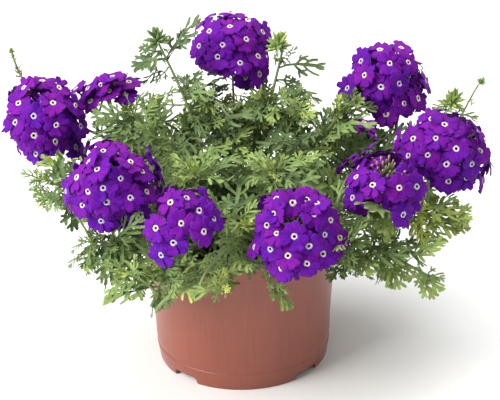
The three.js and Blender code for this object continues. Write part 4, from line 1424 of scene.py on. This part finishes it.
# The florets that face the front of heads 1 to 9, as (right, up) in millimetres from the middle.
SEEN_FLORETS = {
    1: [
        (-3, 1), (12, -5), (-16, -3), (-3, -12), (11, -16), (27, -5), (23, -19), (-3, -24), (10, 10),
        (24, 9), (-14, 10), (1, 26), (13, 21), (-11, 21), (29, -22),
    ],
    2: [
        (6, 8), (17, 5), (-9, -9), (4, -2), (15, -4), (-11, 0), (-20, 0), (-2, 2),
    ],
    3: [
        (-15, 14), (-1, 17), (-20, 23), (-6, 4), (10, 8), (21, 14), (-22, 4), (-9, -4), (6, -8),
        (18, -3), (11, 22), (19, -15), (1, 27),
    ],
    4: [
        (-4, -3), (8, -1), (-15, 5), (-17, 15), (2, 13), (11, 25), (-4, 23), (15, 14), (12, -14),
        (22, -10), (28, 2), (-26, -3), (0, -21),
    ],
    5: [
        (-21, 8), (-7, 8), (-12, -3), (-24, -3), (0, -9), (17, -9), (-9, 21), (-1, 17), (5, 15),
        (23, 0), (31, -6), (-31, 9), (14, -18), (27, -18), (2, -20), (-31, 0), (22, 13), (6, 1),
    ],
    6: [
        (-18, 7), (-8, 2), (9, 0), (21, 1), (-13, 23), (12, -17), (-20, -6), (-24, 16),
    ],
    7: [
        (-15, 12), (-3, 19), (-13, 22), (6, 21), (12, 19), (10, 12), (21, 8), (-19, 5), (-2, -2),
        (-13, 0), (17, -1), (-17, -10), (7, -8), (-6, -14), (6, -19), (-10, -22), (16, -13), (-27, -9),
        (27, -3),
    ],
    8: [
        (-6, 16), (4, 19), (12, 11), (-15, 0), (1, 3), (15, -2), (-4, -9), (-12, -17), (21, 6),
    ],
    9: [
        (4, 23), (14, 17), (8, 6), (14, -6), (-3, 0), (-1, -9), (-13, -2), (-7, 12), (21, 11), (24, -2),
        (31, 3), (-5, -21), (-17, -11), (20, -17), (-21, 7), (-4, 24), (-13, 17), (-8, 30), (32, 11),
        (27, 20), (-29, -2),
    ],
}  # fmt: skip
# Gaps as (right, up) in millimetres and how far they reach round in degrees: where buds or the
# tubes of dropped florets show, and where a head is bare. Then the heads that are loose enough to see
# through, how far down the sides the florets of small heads reach, and how flat a head is.
GAPS = {1: (-3, 18, 18), 5: (14, 4, 15), 6: (3, 15, 25), 7: (-1, 7, 14), 8: (-1, 10, 15), 9: (0, 14, 17)}
SPENT = {6, 7}
BARE = {4: (-19, -19, 22), 6: (-4, -18, 30)}
LOOSE = {2, 8}
DOME_ANGLE = {2: 72, 8: 84, 10: 60, 11: 64, 12: 58}
FLATTENED = {2: 0.25}


def nearest_angle(way, others):
    """Degrees from a direction to the nearest of the others."""
    return math.degrees(math.acos(min(1, max(np.asarray(others) @ way)))) if len(others) else 180


def on_front(places, radius):
    """Places in space from (right, up) places on the front half of a ball: as far to the front as
    the ball bulges there, and on its middle plane beyond its rim."""
    nearer = np.sqrt(np.maximum(radius**2 - (places**2).sum(1), 0))
    return places[:, :1] * view_right + places[:, 1:] * view_up + nearer[:, None] * view_back


def in_gap(way, gap, radius):
    """True if a direction lies in a gap, and the direction of the gap's middle."""
    middle = unit(on_front(np.array([gap[:2]], dtype=float), radius))[0]
    return way @ middle > math.cos(math.radians(gap[2])), middle


def head_florets(number, head):
    """Places in millimetres, from the head's middle, of its florets: those seen from the front, then
    lower ones that spread from under them and fill the gaps, then those of the far side on a
    spiral. Returns the places, how many face the front, and the head's axis."""
    axis = unit(np.array(head["faces"], dtype=float))
    radius = head["radius"]
    stretch = np.eye(3) - (1 - FLATTENED.get(number, 1)) * np.outer(axis, axis)
    places = list(on_front(np.array(SEEN_FLORETS.get(number, []), dtype=float).reshape(-1, 2), radius))
    ways = [unit(place) for place in places]
    top = len(ways)
    gaps = [BARE[number]] if number in BARE else []
    if number in GAPS:
        right, up, wide = GAPS[number]
        gaps.append((right, up, wide + 12))
    for way in spiral_ways(axis, 500, DOME_ANGLE.get(number, 102)):
        if any(in_gap(way, gap, radius)[0] for gap in gaps):
            continue
        # A lower floret of the front is 13 to 23 degrees from the nearest seen one.
        if way @ view_back > -0.25 and top:
            free = 13 < nearest_angle(way, ways[:top]) < 23 and nearest_angle(way, ways[top:]) > 22
            if number not in LOOSE and free:
                ways.append(way)
                places.append(way * 0.79 * radius)
        elif nearest_angle(way, ways) > 30:
            ways.append(way)
            places.append(way * 0.9 * radius @ stretch)
    return np.array(places), top, axis


petal_violet, tree, shader = new_material("velvet_petal", 0.62)
petal_distance, petal_shade = piece_map(tree)
petal_colours = [
    (0.0, (0.07, 0.058, 0.02)),
    (0.03, (0.16, 0.135, 0.045)),
    (0.052, (0.44, 0.38, 0.18)),
    (0.07, (0.76, 0.72, 0.64)),
    (0.118, (0.74, 0.66, 0.7)),
    (0.14, (0.092, 0.003, 0.215)),
    (0.3, (0.1, 0.0025, 0.236)),
    (0.55, (0.12, 0.0035, 0.25)),
    (0.62, (0.106, 0.003, 0.225)),
    (0.75, (0.13, 0.02, 0.15)),
    (0.86, (0.28, 0.22, 0.14)),
    (0.97, (0.46, 0.33, 0.26)),
]
petal_place = math_node(tree, "MULTIPLY", petal_distance, 1 / 1.6)
petal_tone, petal_height = drifted(tree, object_place(tree), 620, 0.74, 1.26)
petal_toned = times(tree, ramp_of(tree, petal_place, petal_colours), petal_tone)
# Painted light and shade: petals turned up to the light are painted redder, and those below bluer and darker.
petal_painted_light_hues = [
    (0.0, (0.64, 0.8, 1.06)),
    (0.25, (0.82, 0.85, 1.16)),
    (0.5, (1.06, 1.0, 1.12)),
    (1.0, (1.6, 1.6, 1.12)),
]
petal_painted_light_tint = ramp_of(tree, smooth_range(tree, petal_shade, (0.6, 1.4), (0.0, 1.0)), petal_painted_light_hues)
petal_inputs = {0: petal_toned, 1: petal_painted_light_tint}
petal_tinted = add_node(tree, "ShaderNodeVectorMath", petal_inputs, operation="MULTIPLY").outputs[0]
tree.links.new(petal_tinted, shader.inputs["Base Color"])
shader.inputs["Sheen Weight"].default_value = 0.14
shader.inputs["Sheen Roughness"].default_value = 0.5
shader.inputs["Sheen Tint"].default_value = (1, 0.15, 0.75, 1)
shader.inputs["Specular IOR Level"].default_value = 0.1
bumped(tree, shader, petal_height, 0.6, 0.0006)

TUBE_DEPTH = 7.5 * MM  # from a floret's face down to the mouth of its calyx
FULL_SIZE = 28 * MM  # radius of a head whose calyces are at their full size
STALK_LENGTH = 10
HEAD_SPIKE = spindle([[1.2, -12.6], [2.2, -6], [3.6, 0], [3.4, 7], [1.5, 11]], [0.5] * 5, 10)
STALK = spindle([[0.5, 0], [0.5, STALK_LENGTH]], [0.5, 0.5], 3)

for number, head in enumerate(HEADS, 1):
    draw = np.random.default_rng(300 + number)
    centre = np.array(head["at"]) * MM
    radius = head["radius"] * MM
    offsets, seen_count, axis = head_florets(number, head)
    count = len(offsets)
    hidden = np.arange(count) >= seen_count
    places = centre + offsets * MM * np.where(hidden, draw.uniform(0.94, 1.05, count), 1)[:, None]
    places = places + view_back * draw.normal(0, 1.3 * MM, (count, 1))
    # Florets low on the head turn up to the light, and all of them on a flat head face its axis.
    outward = unit(offsets)
    lift = 0.62 * np.clip(0.6 - outward[:, 2], 0, 1)
    facing = unit(outward + lift[:, None] * [0, 0, 1] + (1.2 if number in FLATTENED else 0) * axis)
    # Each is a little askew, the lower ones more, and those that face up are painted lighter: painted light
    # from above, on top of a random tone.
    facing = unit(facing + draw.normal(0, 1, (count, 3)) * np.where(hidden, 0.22, 0.15)[:, None])
    twists = draw.uniform(0, FULL_TURN, count)
    scales = draw.uniform(0.95, 1.07, count)
    shades = draw.uniform(0.9, 1.1, count) * (0.84 + 0.28 * np.clip(facing[:, 2], 0, 1))
    choice = draw.integers(0, len(FLORETS), count)
    parts = []
    for kind, shape in enumerate(FLORETS):
        mine = choice == kind
        if mine.any():
            parts.append(placed(shape, places[mine], facing[mine], twists[mine], scales[mine], shades[mine]))
    # The middle of a gap is full of shut buds or bare tubes, about one for each degree it reaches,
    # and the top of any other head has a few.
    if number in GAPS:
        gap_reach = GAPS[number][2]
        gap_middle = in_gap(axis, GAPS[number], head["radius"])[1]
        bud_ways = spiral_ways(gap_middle, 2 + gap_reach, gap_reach + 4)
    else:
        bud_ways = spiral_ways(axis, 9, 20)
    inner_radius = radius * math.sqrt(FLATTENED.get(number, 1))
    buds, bud_share = (SPENT_TUBE, 0.78) if number in SPENT else (BUD, 0.74)
    bud_places = centre + bud_ways * (bud_share * inner_radius)
    bud_count = len(bud_ways)
    bud_sizes = draw.uniform(0.6, 1.1, bud_count)
    parts.append(placed(buds, bud_places, bud_ways, np.zeros(bud_count), bud_sizes, np.ones(bud_count)))
    points, quads, triangles, values = joined(parts)
    petals = filled_mesh(f"petals_{number}", points, [quads, triangles], [petal_violet], uv=values)
    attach(petals, "root")
    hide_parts(f"flower_head_{number}")

    # Under the petals are the calyces on their short stalks, and the spike they stand on.
    size = radius / FULL_SIZE
    green_ways = np.concatenate([facing, bud_ways])
    cup_sizes = np.concatenate([np.full(count, size), np.full(bud_count, 0.85 * size)])
    mouths = np.concatenate([places - facing * TUBE_DEPTH, centre + bud_ways * 0.72 * inner_radius])
    feet = mouths - green_ways * (CALYX_LENGTH * MM * cup_sizes)[:, None]
    zeros = np.zeros(len(feet))
    cups = placed(CALYX, feet, green_ways, zeros, cup_sizes, zeros + 0.5)
    spike = placed(HEAD_SPIKE, centre[None], axis[None], zeros[:1], np.ones(1), np.full(1, 0.4))
    reach = feet - centre
    stretch = np.linalg.norm(reach, axis=1) / (STALK_LENGTH * MM)
    stalks = placed(STALK, zeros[:, None] + centre, unit(reach), zeros, stretch, zeros + 0.45)
    points, quads, triangles, values = joined([cups, spike, stalks])
    green = filled_mesh(f"calyces_{number}", points, [quads, triangles], [leaf_green], uv=values)
    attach(green, "root")

# ------------------------------------------------------------------------------ finish

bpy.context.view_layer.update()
